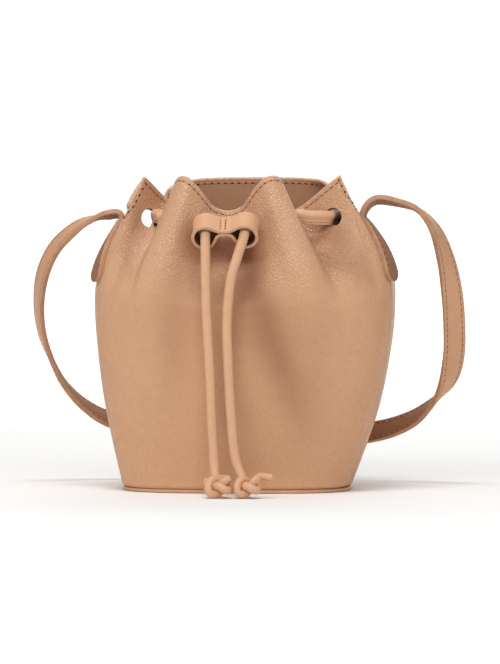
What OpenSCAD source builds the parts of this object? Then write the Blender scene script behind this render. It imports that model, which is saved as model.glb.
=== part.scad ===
// Bucket bag: a soft leather pouch, gathered at the mouth by a drawcord that a leather slider holds,
// with a flat shoulder strap. Millimetres; X to the right, Y away from the front, Z up,
// the origin under the middle of the base.

/* [Body] */
// Width of the base, side to side
base_w = 148; // [120:1:180]
// Depth of the base, front to rear
base_d = 102; // [84:1:124]
// Width at the fullest height
bulge_w = 195; // [160:1:230]
// Depth at the fullest height
bulge_d = 126; // [104:1:150]
// Height of the fullest section above the floor
bulge_z = 117; // [94:1:138]
// Height of the gathered crests of the mouth
crest_z = 202; // [178:1:236]
// Thickness of the body leather
leather_t = 1.6; // [1.2:0.1:2.2]
// Thickness of the sewn base, with its turned edge
base_t = 2.5; // [1.8:0.1:4]

/* [Inside] */
// Thickness of the leather facing round the mouth
facing_t = 1; // [0.6:0.1:1.6]
// Thickness of the textile lining
lining_t = 0.6; // [0.4:0.1:1]
// Thickness of the board that stiffens the base
board_t = 2; // [1:0.1:3]

/* [Drawcord] */
// Diameter of the rolled leather cord
cord_d = 6; // [4.5:0.1:7]
// Diameter of the punched cord holes
hole_d = 12.5; // [11:0.1:15]

/* [Slider] */
// Outer diameter of each of the slider's two tubes
tube_d = 17.4; // [16:0.1:20]
// Bore of each tube
tube_bore = 13.2; // [12:0.1:15]
// Length of the tubes along the cord
tube_len = 15; // [12:0.1:18]
// Distance between the two tube axes
tube_pitch = 24.5; // [22:0.1:27]

/* [Strap] */
// Width of the shoulder strap
strap_w = 14.5; // [10:0.1:18]
// Thickness of the strap
strap_t = 3.5; // [2.4:0.1:4.4]
// Length of each sewn strap tab below the rim
tab_len = 40; // [30:1:50]

/* [Hidden] */
// Clearance between layers that lie on each other
ply_gap = 0.1;
// Half of the gap between the panels at each side seam, in degrees of plan angle
seam_gap = 0.1;
// Clearance between the strap and the tab ends that it turns on
joint_gap = 0.3;
// The drawn sizes that the hand-chosen points below belong to
drawn_w = 195;
drawn_d = 126;
drawn_z = 202;
// Roundness of the plan outline: 2 is an ellipse, larger is squarer
base_round = 3;
bulge_round = 2.45;
// How quickly the wall swells out of the base, and how far its fullest section stands to the right of it
swell_power = 1.6;
lean = 5;
// How late the gathers pull the wall in, at the front and rear and at the sides, and how softly they start
fold_power = 0.9;
side_power = 2.3;
pull_ease = 0.06;
// Softness of the rim's turns between its peaks and valleys
rim_slack = 0.8;
// Heights on the wall: 0 at the base, 1 at the fullest section, 2 at the rim
hole_h = 1.8;
facing_h = 1.6;
// Plan angles of the two side seams, under the strap tabs
seam_r = -14;
seam_l = 198;

// The gathered rim: plan angle of the wall below, the rim point over it, and how sharply the rim turns there
rim = [
    [seam_r, [80.5, -14, 174.5], 0],  // right tab
    [22, [58, 26, 199], 0],           // rear right corner
    [50, [43.5, 42, 202], 0],
    [90, [2, 47, 202.5], 0],          // rear middle
    [130, [-34.5, 42, 201], 0],
    [157, [-49.5, 28, 194], 0],       // rear left corner
    [163, [-52, 22, 173], 0],         // low side behind the left tab
    [172, [-57.5, 11, 165], 0],
    [184, [-65, -2, 167], 0],
    [seam_l, [-72, -16, 174], 0],     // left tab
    [209, [-57.5, -30, 201], 0.85],   // left peak
    [229, [-42.5, -12, 187], 0],      // left valley
    [233.5, [-37, -37, 200], 0],      // left crest
    [243, [-28, -47, 200], 0],
    [251, [-19.5, -42, 191], 0],      // front valley, behind the slider
    [258, [-13, -36, 182.5], 0],
    [267, [-4, -32, 179.5], 0],
    [276, [5.5, -35, 182.5], 0],
    [284, [13.5, -43, 193], 0],
    [291, [21, -49, 200], 0],         // right crest
    [300, [31, -43, 200], 0],
    [308, [35.5, -14, 177], 0],       // right valley
    [331, [68, -28, 202], 0.85],      // right peak
];

// Plan angles of the cord holes: those by the slider, and either side of the crests
hole_a = [259, 276];
hole_b = [231.5, 303.5];
hole_c = [222, 321];
hole_rear = [138, 35];

// Middle of the slider, and the tilt of its tubes, forward and down
slider_at = [-3, -64, 168.5];
tube_tilt = 128;

// Strap route from the left tab to the right: a point on the middle of the strap, then its width direction
strap_route = [
    [[-84, -15, 177.5], [0, 1, -0.25]],
    [[-94, -13, 175], [-0.05, 1, 0.15]],
    [[-106, -9, 168.5], [-0.25, 0.9, 0.4]],
    [[-119.5, 0, 156.5], [-0.45, 0.85, 0.3]],
    [[-128.5, 10, 140.5], [-0.5, 0.85, 0.15]],
    [[-133, 22, 122], [-0.4, 0.9, 0]],
    [[-133, 34, 102], [-0.3, 0.95, -0.05]],
    [[-128.5, 44, 84.5], [-0.15, 1, -0.05]],
    [[-120.5, 54.5, 66], [0, 1, 0]],
    [[-107.5, 64, 51], [0.2, 0.9, 0.3]],
    [[-90, 70.5, 41], [0.2, 0.5, 0.8]],
    [[-60, 73, 36], [0, 0.1, 1]],
    [[0, 74, 33], [0, 0, 1]],
    [[60, 73, 32], [0, 0, 1]],
    [[88, 69, 34], [-0.1, 0.2, 1]],
    [[111, 61.5, 42], [-0.2, 0.75, 0.6]],
    [[126.5, 50.5, 54.5], [0, 1, 0.15]],
    [[135.5, 41, 67], [0.7, 0.7, 0.1]],
    [[140, 32, 85], [1, 0.25, 0]],
    [[140.5, 22, 105], [1, 0.2, 0]],
    [[139, 12, 127], [0.9, 0.45, 0]],
    [[135, 4, 149], [0.65, 0.75, 0]],
    [[127.5, -6, 169], [0.35, 0.95, 0]],
    [[115.5, -11, 182], [0.1, 1, -0.1]],
    [[97.5, -12, 187], [0, 1, -0.25]],
];

// Tails below the slider, as points from its front opening down to the knot that lies on the floor
tail_l = [[-14, -70, 150], [-12.5, -71, 115], [-12.5, -71, 80], [-13, -71, 50], [-11, -72, 26],
    [-8, -77, 11.5], [-6, -86, 8]];
tail_r = [[5.5, -70, 149], [1, -71, 135], [-2, -71, 110], [-2, -71, 85], [1, -71, 55], [5, -73, 26],
    [8.5, -78, 12], [11, -87, 8]];
// Middle of each knot, which holds the end of its tail
knot_l_at = [-5, -93, 8];
knot_r_at = [13, -93, 8];
knot_spread = 4.6;

// Mesh counts
fold_steps = 3;
rear_steps = 2;
// Widest step between the panels' columns, in degrees of plan angle
col_span = 8;
wall_rows = 5;
gather_rows = 10;
cord_sides = 8;
$fn = 48;

leather = [0.80, 0.62, 0.48];
leather_dark = [0.66, 0.46, 0.33];
cloth = [0.62, 0.50, 0.40];

// Small vector helpers
function unit(v) = v / norm(v);
function mix(a, b, k) = a + (b - a) * k;
function square_to(v, axis) = unit(v - (v * axis) * axis);
function fitted(p) = [p.x * bulge_w / drawn_w, p.y * bulge_d / drawn_d, p.z * crest_z / drawn_z];

// Plan outline of the wall: a rounded oblong with half sizes a and b
function plan(t, a, b, n) = [
    a * sign(cos(t)) * pow(abs(cos(t)), 2 / n),
    b * sign(sin(t)) * pow(abs(sin(t)), 2 / n)
];

// The rim as a closed smooth curve over the plan angle
rim_n = len(rim);
function rim_t(i) = rim[(i + rim_n) % rim_n][0] + 360 * floor(i / rim_n);
function rim_p(i) = fitted(rim[(i + rim_n) % rim_n][1]);
function rim_crease(i) = rim[(i + rim_n) % rim_n][2];
function rim_step(i) = (rim_p(i + 1) - rim_p(i)) / (rim_t(i + 1) - rim_t(i));
function rim_soft(i) = rim_slack * (rim_p(i + 1) - rim_p(i - 1)) / (rim_t(i + 1) - rim_t(i - 1));
// Slopes of the rim where it leaves one of its points and where it reaches the next
function rim_leave(i) = mix(rim_soft(i), rim_step(i), rim_crease(i));
function rim_reach(i) = mix(rim_soft(i), rim_step(i - 1), rim_crease(i));
function rim_turn(t) = t - 360 * floor((t - seam_r) / 360);
function rim_seg(t, i = 0) = (i == rim_n - 1 || t < rim_t(i + 1)) ? i : rim_seg(t, i + 1);
function hermite(p, m, q, k, span) =
    p * (2 * pow(k, 3) - 3 * pow(k, 2) + 1) + q * (3 * pow(k, 2) - 2 * pow(k, 3))
    + span * m[0] * (pow(k, 3) - 2 * pow(k, 2) + k) + span * m[1] * (pow(k, 3) - pow(k, 2));
function rim_at(t) =
    let (tt = rim_turn(t), i = rim_seg(tt), span = rim_t(i + 1) - rim_t(i))
    hermite(rim_p(i), [rim_leave(i), rim_reach(i + 1)], rim_p(i + 1), (tt - rim_t(i)) / span, span);

// The outer face of the wall at plan angle t and height h
function swell(h) = 1 - pow(1 - h, swell_power);
function plan_at(t, h, inset) = let (k = swell(h))
    plan(t, mix(base_w, bulge_w, k) / 2 - inset, mix(base_d, bulge_d, k) / 2 - inset,
        mix(base_round, bulge_round, k)) + [lean * k, 0];
function wall_low(t, h) = let (p = plan_at(t, h, 0)) [p.x, p.y, mix(base_t, bulge_z, h)];
// How far the gathers have pulled the wall in, from 0 at the fullest section to 1 at the rim
function pull(t, v) = pow((1 + pull_ease) * v * v / (v + pull_ease),
    mix(fold_power, side_power, pow(abs(cos(t)), 3)));
function wall_high(t, v) =
    let (low = wall_low(t, 1), top = rim_at(t), k = pull(t, v))
    [mix(low.x, top.x, k), mix(low.y, top.y, k), mix(low.z, top.z, v)];
function wall(t, h) = h <= 1 ? wall_low(t, max(h, 0)) : wall_high(t, min(h, 2) - 1);
function wall_normal(t, h) =
    unit(cross(wall(t + 0.6, h) - wall(t - 0.6, h), wall(t, h + 0.02) - wall(t, h - 0.02)));
// A point that stands off the outer face; a negative lift lies inside the bag
function off_wall(t, h, lift) = wall(t, h) + lift * wall_normal(t, h);
// Height on the wall, below the fullest section, of a level above the floor
function wall_h(z) = (z - base_t) / (bulge_z - base_t);

// Plan angles for one panel, with at least a number of steps in each stretch of the rim
function col_steps(i, fewest) = max(fewest, ceil((rim_t(i + 1) - rim_t(i)) / col_span));
function panel_cols(first, last, fewest) = concat(
    [for (i = [first:last - 1]) let (n = col_steps(i, fewest))
        for (j = [0:n - 1]) mix(rim_t(i), rim_t(i + 1), j / n)],
    [rim_t(last)]
);
tab_i = 9;
front_cols = panel_cols(tab_i, rim_n, fold_steps);
rear_cols = panel_cols(0, tab_i, rear_steps);
// Columns kept a hair apart at the side seams
function seamed(cols) = [for (i = [0:len(cols) - 1])
    cols[i] + (i == 0 ? seam_gap : i == len(cols) - 1 ? -seam_gap : 0)];
panel_rows = concat([for (i = [0:wall_rows - 1]) i / wall_rows],
    [for (i = [0:gather_rows]) 1 + i / gather_rows]);
facing_rows = [for (i = [6:gather_rows]) 1 + i / gather_rows];
lining_low = wall_h(base_t + board_t + lining_t + ply_gap);
lining_rows = concat([lining_low], [for (i = [1:wall_rows - 1]) i / wall_rows],
    [for (i = [0:5]) 1 + i / gather_rows], [facing_h - 0.01]);

// Two triangles for a four-cornered cell of a surface
function cell(a, b, c, d) = [[a, b, c], [a, c, d]];

// A layer of the wall between two depths below its outer face
module layer(cols, rows, depth_out, depth_in) {
    n = len(cols);
    m = len(rows);
    outer = [for (h = rows) for (t = cols) off_wall(t, h, -depth_out)];
    inner = [for (h = rows) for (t = cols) off_wall(t, h, -depth_in)];
    k = n * m;
    faces = [
        for (j = [0:m - 2]) for (i = [0:n - 2]) let (a = j * n + i)
            each concat(cell(a, a + n, a + n + 1, a + 1), cell(k + a, k + a + 1, k + a + n + 1, k + a + n)),
        for (i = [0:n - 2]) let (b = (m - 1) * n + i)
            each concat(cell(i, i + 1, k + i + 1, k + i), cell(b, k + b, k + b + 1, b + 1)),
        for (j = [0:m - 2]) let (a = j * n, b = a + n - 1)
            each concat(cell(a, k + a, k + a + n, a + n), cell(b, b + n, k + b + n, k + b)),
    ];
    polyhedron(concat(outer, inner), faces, convexity = 8);
}

// A closed form swept along frames of [middle, side, up] with a section for each frame
module sweep(frames, sections) {
    n = len(sections[0]);
    m = len(frames);
    points = [for (i = [0:m - 1]) for (q = sections[i])
        frames[i][0] + q.x * frames[i][1] + q.y * frames[i][2]];
    faces = concat(
        [[for (i = [n - 1:-1:0]) i]],
        [for (j = [0:m - 2]) for (i = [0:n - 1])
            let (a = j * n + i, b = j * n + (i + 1) % n) each cell(a, b, b + n, a + n)],
        [[for (i = [0:n - 1]) (m - 1) * n + i]]
    );
    polyhedron(points, faces, convexity = 8);
}

// Points and directions along a smooth route
function clamped(list, i) = list[min(max(i, 0), len(list) - 1)];
function eased(p, q, r, s, k) = hermite(q, [(r - p) / 2, (s - q) / 2], r, k, 1);
function smooth(list, steps) = concat(
    [for (i = [0:len(list) - 2]) for (j = [0:steps - 1])
        eased(clamped(list, i - 1), list[i], list[i + 1], clamped(list, i + 2), j / steps)],
    [list[len(list) - 1]]
);
function heading(list, i) = unit(clamped(list, i + 1) - clamped(list, i - 1));
function cord_frames(route, side) = [
    for (i = 0, u = square_to(side, heading(route, 0)); i < len(route);
        i = i + 1, u = i < len(route) ? square_to(u, heading(route, i)) : u)
        [route[i], u, cross(u, heading(route, i))]
];
ring = [for (i = [0:cord_sides - 1]) cord_d / 2 * [cos(i * 360 / cord_sides), sin(i * 360 / cord_sides)]];

module cord(route, side = [0, 0, 1]) {
    frames = cord_frames(route, side);
    sweep(frames, [for (f = frames) ring]);
}

// Flat strap section with broken edges, at a given half width
edge = strap_t / 4;
function strap_section(half) = let (w = half, e = min(edge, half / 2), t = strap_t / 2) [
    [w, -t + e], [w, t - e], [w - e, t], [e - w, t], [-w, t - e], [-w, e - t], [e - w, -t], [w - e, -t]
];
function strap_frames(points, widths) = [for (i = [0:len(points) - 1])
    let (u = square_to(widths[i], heading(points, i))) [points[i], u, cross(u, heading(points, i))]];

// Outline of the bag in plan at a height, drawn in by an inset
module plan_shape(h, inset) {
    steps = 96;
    p = [for (i = [0:steps - 1]) plan_at(i * 360 / steps, h, inset)];
    polygon(p);
}

// Punched cord holes through the wall at given plan angles
module holes(angles) {
    reach = 8;
    for (t = angles) {
        n = wall_normal(t, hole_h);
        translate(off_wall(t, hole_h, -leather_t))
            rotate([0, acos(n.z), atan2(n.y, n.x)])
                cylinder(d = hole_d, h = reach, center = true);
    }
}
front_holes = concat(hole_a, hole_b, hole_c);

module front_panel() {
    color(leather) difference() {
        layer(seamed(front_cols), panel_rows, 0, leather_t);
        holes(front_holes);
    }
}

module rear_panel() {
    color(leather) difference() {
        layer(seamed(rear_cols), panel_rows, 0, leather_t);
        holes(hole_rear);
    }
}

facing_in = leather_t + 2 * ply_gap;
module front_facing() {
    color(leather_dark) difference() {
        layer(seamed(front_cols), facing_rows, facing_in, facing_in + facing_t);
        holes(front_holes);
    }
}

module rear_facing() {
    color(leather_dark) difference() {
        layer(seamed(rear_cols), facing_rows, facing_in, facing_in + facing_t);
        holes(hole_rear);
    }
}

module front_lining() {
    color(cloth) layer(seamed(front_cols), lining_rows, facing_in, facing_in + lining_t);
}

module rear_lining() {
    color(cloth) layer(seamed(rear_cols), lining_rows, facing_in, facing_in + lining_t);
}

module base_panel() {
    color(leather) linear_extrude(base_t) plan_shape(0, 0);
}

board_inset = leather_t + 2 * ply_gap;
module base_board() {
    color(leather_dark) translate([0, 0, base_t]) linear_extrude(board_t) plan_shape(0, board_inset);
}

module lining_floor() {
    z = base_t + board_t;
    color(cloth) translate([0, 0, z]) linear_extrude(lining_t) plan_shape(wall_h(z), board_inset);
}

// The strap's ends, and the line through them that it swings on
strap_l = fitted(strap_route[0][0]);
strap_r = fitted(strap_route[len(strap_route) - 1][0]);
strap_axis = unit(strap_r - strap_l);

// A strap tab: sewn up the side of the bag, then turned out over the rim to the end of the strap
tab_drop = tab_len / (rim_p(tab_i).z - bulge_z);
module tab(seam, end, rise) {
    lift = 5 * ply_gap + strap_t / 2;
    sewn_h = [for (k = [0, 0.02, 0.06, 0.12, 0.19, 0.35, 0.55, 0.75, 0.9, 1]) 2 - tab_drop * (1 - k)];
    sewn = [for (h = sewn_h) off_wall(seam, h, lift)];
    side = sign(end.x);
    bend = [for (r = rise) sewn[9] + [side * r.x, 0, r.y]];
    tip = [for (back = [2, 0]) end - side * (joint_gap + back) * strap_axis];
    points = concat(sewn, bend, tip);
    r = strap_w / 2;
    run = [for (i = 0, s = 0; i < len(points); i = i + 1,
        s = i < len(points) ? s + norm(points[i] - points[i - 1]) : s) s];
    halves = [for (s = run) let (a = max(r - s - 0.4, 0)) sqrt(r * r - a * a)];
    chord = 3;
    sewn_sides = [for (h = sewn_h) side * unit(wall(seam + chord, h) - wall(seam - chord, h))];
    widths = concat(sewn_sides, [for (p = concat(bend, tip)) strap_route[0][1]]);
    color(leather) sweep(strap_frames(points, widths), [for (h = halves) strap_section(h)]);
}

module tab_left() {
    tab(seam_l, strap_l, [[0.5, 2.5], [3, 4]]);
}

module tab_right() {
    tab(seam_r, strap_r, [[0.5, 4], [4, 9], [9, 12.5]]);
}

// A leather patch inside the bag behind each sewn tab
module patch(seam) {
    reach = 5;
    depth = facing_in + facing_t + 2 * ply_gap;
    cols = [for (i = [-2:2]) seam + reach * i / 2];
    rows = [for (i = [0:4]) 2 - tab_drop * (1 - i / 4) - 0.06];
    color(leather_dark) layer(cols, rows, depth, depth + facing_t);
}

module patch_left() {
    patch(seam_l);
}

module patch_right() {
    patch(seam_r);
}

module strap() {
    steps = 3;
    last = len(strap_route) - 1;
    straight = 2;
    free = concat([strap_l - straight * strap_axis], [for (i = [1:last - 1]) fitted(strap_route[i][0])],
        [strap_r + straight * strap_axis]);
    points = concat([strap_l], smooth(free, steps), [strap_r]);
    widths = concat([strap_route[0][1]], smooth([for (s = strap_route) s[1]], steps), [strap_route[last][1]]);
    color(leather) sweep(strap_frames(points, widths), [for (p = points) strap_section(strap_w / 2)]);
}

// Where the cord runs outside the wall, and inside behind the facing
out_lift = cord_d / 2 + 1.2;
in_lift = -(facing_in + facing_t + cord_d / 2 + 1.5);
// Where it swings free of the wall, under the low side of the rim
deep_lift = in_lift - 8.5;
// The middle of a hole, and the cord's way in through it
function hole_mid(t) = off_wall(t, hole_h, -leather_t);
function way_in(t) = [for (lift = [1.5, -leather_t - 3]) off_wall(t, hole_h, lift)];
function across(from, to, parts, lift) = [for (k = parts)
    mix(off_wall(from, hole_h, lift), off_wall(to, hole_h, lift), k)];
function stretch(from, to, parts, lift) = [for (k = parts) off_wall(mix(from, to, k), hole_h, lift)];
function reversed(list) = [for (i = [len(list) - 1:-1:0]) list[i]];

// Half of the run, from the front hole by the slider round the side to the middle of the rear
function half_run(a, b, c, side, rear, mid) = concat(
    [hole_mid(a), way_in(a)[1]],
    stretch(a, b, [0.3, 0.65], in_lift),
    reversed(way_in(b)),
    across(b, c, [0.25, 0.75], out_lift),
    way_in(c),
    across(c, side, [0.3, 0.65, 1], in_lift),
    across(mix(side, rear, 0.35), rear, [0, 0.35, 0.7], deep_lift),
    reversed(way_in(rear)),
    stretch(rear, mid, [0.25, 0.6, 1], out_lift)
);
left_run = half_run(hole_a[0], hole_b[0], hole_c[0], seam_l, hole_rear[0], 90);
right_run = half_run(hole_a[1], hole_b[1], hole_c[1], 360 + seam_r, 360 + hole_rear[1], 450);
whole_run = concat(left_run, [for (i = [1:len(right_run) - 1]) reversed(right_run)[i]]);

module drawcord_run() {
    color(leather) cord(smooth(whole_run, 2));
}

// The slider's middle, its tube direction and the ends of its tubes
slider_mid = fitted(slider_at);
tube_way = [0, -sin(tube_tilt), cos(tube_tilt)];
// How far above the axis the cord lies at the rear end of a tube
tube_slack = 2;
function tube_point(side, along) = slider_mid + [side * tube_pitch / 2, 0, 0] + along * tube_way;

// A tail: out of its hole, through a tube of the slider and down to its knot
function tail_route(a, side, hang, knot) = concat(
    [off_wall(a, hole_h, 3 * ply_gap - leather_t), off_wall(a, hole_h, 5)],
    [for (along = [-0.5, 0, 0.4]) tube_point(side, along * tube_len) + [0, 0, tube_slack * (0.5 - along)]],
    [for (p = hang) fitted(p)],
    [fitted(knot)]
);

module tail_left() {
    color(leather) cord(smooth(tail_route(hole_a[0], -1, tail_l, knot_l_at), 3), [1, 0, 0]);
}

module tail_right() {
    color(leather) cord(smooth(tail_route(hole_a[1], 1, tail_r, knot_r_at), 3), [1, 0, 0]);
}

// An overhand knot: two crossed turns of the cord with its cut end
module knot(at, way) {
    turn_d = cord_d - 0.4;
    translate(fitted(at)) rotate([0, 0, atan2(way.y, way.x)]) {
        rotate([0, 90, 0]) rotate_extrude() translate([knot_spread, 0]) circle(d = turn_d, $fn = 20);
        translate([turn_d / 2, 0, 0]) rotate([90, 0, 25])
            rotate_extrude() translate([knot_spread, 0]) circle(d = turn_d, $fn = 20);
        rotate([0, 90, 0]) cylinder(d = turn_d, h = 15);
    }
}

module knot_left() {
    color(leather) knot(knot_l_at, [0.3, -1]);
}

module knot_right() {
    color(leather) knot(knot_r_at, [1, -0.4]);
}

// The slider: a strip rolled into two tubes and sewn down the middle
module slider() {
    // The sewn middle is as thick as both leaves, and sits high so that the upper leaf is nearly flat
    waist = 5;
    rise = 2.4;
    color(leather) translate(slider_mid) rotate([tube_tilt, 0, 0])
        linear_extrude(tube_len, center = true) difference() {
            union() {
                for (side = [-1, 1]) translate([side * tube_pitch / 2, 0]) circle(d = tube_d);
                translate([0, rise]) square([tube_pitch, waist], center = true);
            }
            for (side = [-1, 1]) translate([side * tube_pitch / 2, 0]) circle(d = tube_bore);
        }
}

front_panel();
rear_panel();
front_facing();
rear_facing();
front_lining();
rear_lining();
base_panel();
base_board();
lining_floor();
tab_left();
tab_right();
patch_left();
patch_right();
strap();
drawcord_run();
tail_left();
tail_right();
knot_left();
knot_right();
slider();
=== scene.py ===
"""A small leather bucket bag, dressed: pebbled body, drawcord with its slider, and shoulder strap.

Everything is in metres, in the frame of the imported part: X to the right, Y away from the front, Z up, and the
origin under the middle of the base.
"""

import logging
import math
from collections import Counter
from dataclasses import dataclass, field
from enum import Enum
from typing import ClassVar, Iterable, Sequence

import bpy
import numpy as np
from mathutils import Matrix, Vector


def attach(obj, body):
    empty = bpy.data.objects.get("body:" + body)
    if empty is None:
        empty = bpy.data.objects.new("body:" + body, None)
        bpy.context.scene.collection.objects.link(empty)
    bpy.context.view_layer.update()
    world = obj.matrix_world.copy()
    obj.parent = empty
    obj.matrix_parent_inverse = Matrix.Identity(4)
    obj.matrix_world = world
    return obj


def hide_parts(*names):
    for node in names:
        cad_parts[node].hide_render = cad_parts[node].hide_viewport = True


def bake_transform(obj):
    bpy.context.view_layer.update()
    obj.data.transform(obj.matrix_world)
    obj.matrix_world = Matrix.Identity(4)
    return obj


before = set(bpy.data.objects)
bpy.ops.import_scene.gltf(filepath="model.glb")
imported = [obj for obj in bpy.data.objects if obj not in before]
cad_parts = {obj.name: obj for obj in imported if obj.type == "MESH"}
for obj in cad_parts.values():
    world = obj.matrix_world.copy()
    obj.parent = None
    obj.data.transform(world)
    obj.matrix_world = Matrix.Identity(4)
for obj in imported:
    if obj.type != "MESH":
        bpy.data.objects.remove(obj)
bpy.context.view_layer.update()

LOG = logging.getLogger("bucket_bag")

Point = tuple[float, float, float]
Colour = tuple[float, float, float, float]
Profile = tuple[tuple[float, float], ...]
Array = np.ndarray
Piece = bpy.types.Object
Material = bpy.types.Material
Node = bpy.types.Node
Socket = bpy.types.NodeSocket
Tree = bpy.types.NodeTree


class Body(str, Enum):
    """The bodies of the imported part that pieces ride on."""

    BAG = "bag"
    STRAP = "strap_loop"
    SLIDER = "cord_slider"


class Side(Enum):
    """The two sides of the bag, as the sign of X."""

    LEFT = -1
    RIGHT = 1

    @property
    def label(self) -> str:
        """The side's word in names."""
        return self.name.lower()


class Slot(str, Enum):
    """The record's material slots."""

    BODY = "body_leather"
    BASE = "base_leather"
    FACING = "facing_leather"
    LINING = "lining_cloth"
    BOARD = "board"
    STRAP = "strap_leather"
    CORD = "cord_leather"
    SLIDER = "slider_leather"


def unit(v: Array) -> Array:
    """Vectors of length one along the last axis."""
    v = np.asarray(v, float)
    return v / np.maximum(np.linalg.norm(v, axis=-1, keepdims=True), 1e-12)


def square_to(v: Array, axis: Array) -> Array:
    """The part of v that is square to the unit axis, as a unit vector."""
    return unit(v - np.sum(v * axis, axis=-1, keepdims=True) * axis)


def ease(k: Array) -> Array:
    """Smooth step from 0 to 1, held outside that range."""
    k = np.clip(k, 0, 1)
    return k * k * (3 - 2 * k)


def hermite(p: Array, mp: Array, q: Array, mq: Array, k: Array) -> Array:
    """Cubic between p and q with end slopes mp and mq, at share k."""
    k2, k3 = k * k, k * k * k
    return p * (2 * k3 - 3 * k2 + 1) + q * (3 * k2 - 2 * k3) + mp * (k3 - 2 * k2 + k) + mq * (k3 - k2)


def smooth_route(points: Sequence[Point] | Array, steps: int) -> Array:
    """A smooth curve through points.

    Args:
        points: The points that the curve passes, of any width.
        steps: Pieces between one point and the next.

    Returns:
        The points of the curve, both ends included.
    """
    p = np.asarray(points, float)
    before, after = p[[0, *range(len(p) - 1)]], p[[*range(1, len(p)), len(p) - 1]]
    slope = (after - before) / 2
    k = (np.arange(steps) / steps)[None, :, None]
    body = hermite(p[:-1, None], slope[:-1, None], p[1:, None], slope[1:, None], k)
    return np.concatenate([body.reshape(-1, p.shape[1]), p[-1:]])


def run_lengths(points: Array) -> Array:
    """Distance along a polyline at each of its points."""
    return np.concatenate([[0.0], np.cumsum(np.linalg.norm(np.diff(points, axis=0), axis=1))])


def at_lengths(points: Array, values: Array, s: Array) -> Array:
    """Values that belong to a polyline's points, read at distances s along it."""
    run = run_lengths(points)
    return np.stack([np.interp(s, run, values[:, i]) for i in range(values.shape[1])], axis=1)


def headings(points: Array) -> Array:
    """Unit direction of travel at each point of a polyline."""
    steps = [points[1:2] - points[:1], points[2:] - points[:-2], points[-1:] - points[-2:-1]]
    return unit(np.concatenate(steps))


def cross_axes(route: Array, side: Array) -> tuple[Array, Array]:
    """Two directions square to a route at each point: the one nearest to side, and one square to that."""
    way = headings(route)
    u = square_to(side, way)
    return u, np.cross(u, way)


def oblong(t: Array, a: Array, b: Array, power: Array) -> tuple[Array, Array]:
    """X and Y of a rounded oblong at plan angles t, from its half sizes and how square it is."""
    c, s = np.cos(np.radians(t)), np.sin(np.radians(t))
    return a * np.sign(c) * np.abs(c) ** (2 / power), b * np.sign(s) * np.abs(s) ** (2 / power)


def net_quads(rows: int, cols: int, ring: bool = False) -> Array:
    """Corners of the faces of a net of rows and columns; a ring joins its last column to the first."""
    j, i = np.meshgrid(np.arange(rows - 1), np.arange(cols if ring else cols - 1), indexing="ij")
    a, b = (j * cols + i).ravel(), (j * cols + (i + 1) % cols).ravel()
    return np.stack([a, b, b + cols, a + cols], axis=1)


@dataclass
class Draft:
    """The points, faces and finish numbers of one piece while it is drawn."""

    points: list[Array] = field(default_factory=list)
    faces: list[tuple[int, ...]] = field(default_factory=list)
    finish: list[int] = field(default_factory=list)
    count: int = 0

    def add(self, points: Array, faces: Iterable[Sequence[int]], finish: int = 0) -> int:
        """Adds points with faces that count from them.

        Args:
            points: New points, one row each.
            faces: Corners of each face, counted from the first new point.
            finish: Number of the finish in the piece's list.

        Returns:
            The number of the first new point.
        """
        first = self.count
        self.points.append(np.asarray(points, float).reshape(-1, 3))
        self.count += len(self.points[-1])
        for f in faces:
            self.faces.append(tuple(first + i for i in f))
            self.finish.append(finish)
        return first

    def grid(self, net: Array, finish: int = 0, ring: bool = False, flip: bool = False) -> int:
        """Adds a net of rows and columns as quads.

        Args:
            net: Points as rows, columns, 3.
            finish: Number of the finish.
            ring: Joins the last column to the first.
            flip: Turns the faces over.

        Returns:
            The number of the first new point.
        """
        quads = net_quads(*net.shape[:2], ring)
        return self.add(net, (quads[:, ::-1] if flip else quads).tolist(), finish)

    def sweep(self, centre: Array, side: Array, section: Array) -> None:
        """Adds a closed section carried along a route, with closed ends.

        Args:
            centre: Points of the route.
            side: The section's first direction at each point.
            section: Section points as (along side, square to it).
        """
        u, w = cross_axes(centre, side)
        net = centre[:, None] + section[:, :1] * u[:, None] + section[:, 1:] * w[:, None]
        self.close(self.grid(net, ring=True), *net.shape[:2])

    def close(self, first: int, rows: int, cols: int, finish: int = 0) -> None:
        """Closes the two ends of a net of closed rows that starts at the point first."""
        last = first + (rows - 1) * cols
        self.faces += [tuple(range(first + cols - 1, first - 1, -1)), tuple(range(last, last + cols))]
        self.finish += [finish, finish]

    def to_object(self, name: str, finishes: Sequence[Material], sharp: float = 180.0) -> Piece:
        """Makes the piece.

        Args:
            name: Name of the piece.
            finishes: Materials in the order of the finish numbers.
            sharp: Edges that turn by more than this many degrees stay crisp.

        Returns:
            The new object, in the scene.
        """
        mesh = bpy.data.meshes.new(name)
        mesh.from_pydata(np.concatenate(self.points).tolist(), [], self.faces)
        for f in finishes:
            mesh.materials.append(f)
        mesh.polygons.foreach_set("material_index", self.finish)
        mesh.polygons.foreach_set("use_smooth", [True] * len(self.faces))
        if sharp < 180:
            mesh.set_sharp_from_angle(angle=math.radians(sharp))
        mesh.update()
        made = bpy.data.objects.new(name, mesh)
        bpy.context.scene.collection.objects.link(made)
        return made


def mark_points(piece: Piece, name: str, values: Array) -> None:
    """Stores one number for each of a mesh's points, for its material to read; points left over get 0."""
    made = piece.data.attributes.new(name, "FLOAT", "POINT")
    flat = np.asarray(values, np.float32).ravel()
    made.data.foreach_set("value", np.pad(flat, (0, len(piece.data.vertices) - len(flat))))


def place(piece: Piece, body: Body, slot: Slot, *nodes: str) -> Piece:
    """Hands a finished piece to the frame.

    Args:
        piece: The piece.
        body: The body that it rides on.
        slot: The record's material slot; not used.
        nodes: The solids that it stands for.

    Returns:
        The piece.
    """
    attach(piece, body.value)
    if nodes:
        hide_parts(*nodes)
    LOG.info("%s on %s", piece.name, body.value)
    return piece


# Height of the rim on the wall.
RIM_H = 2.0


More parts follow.
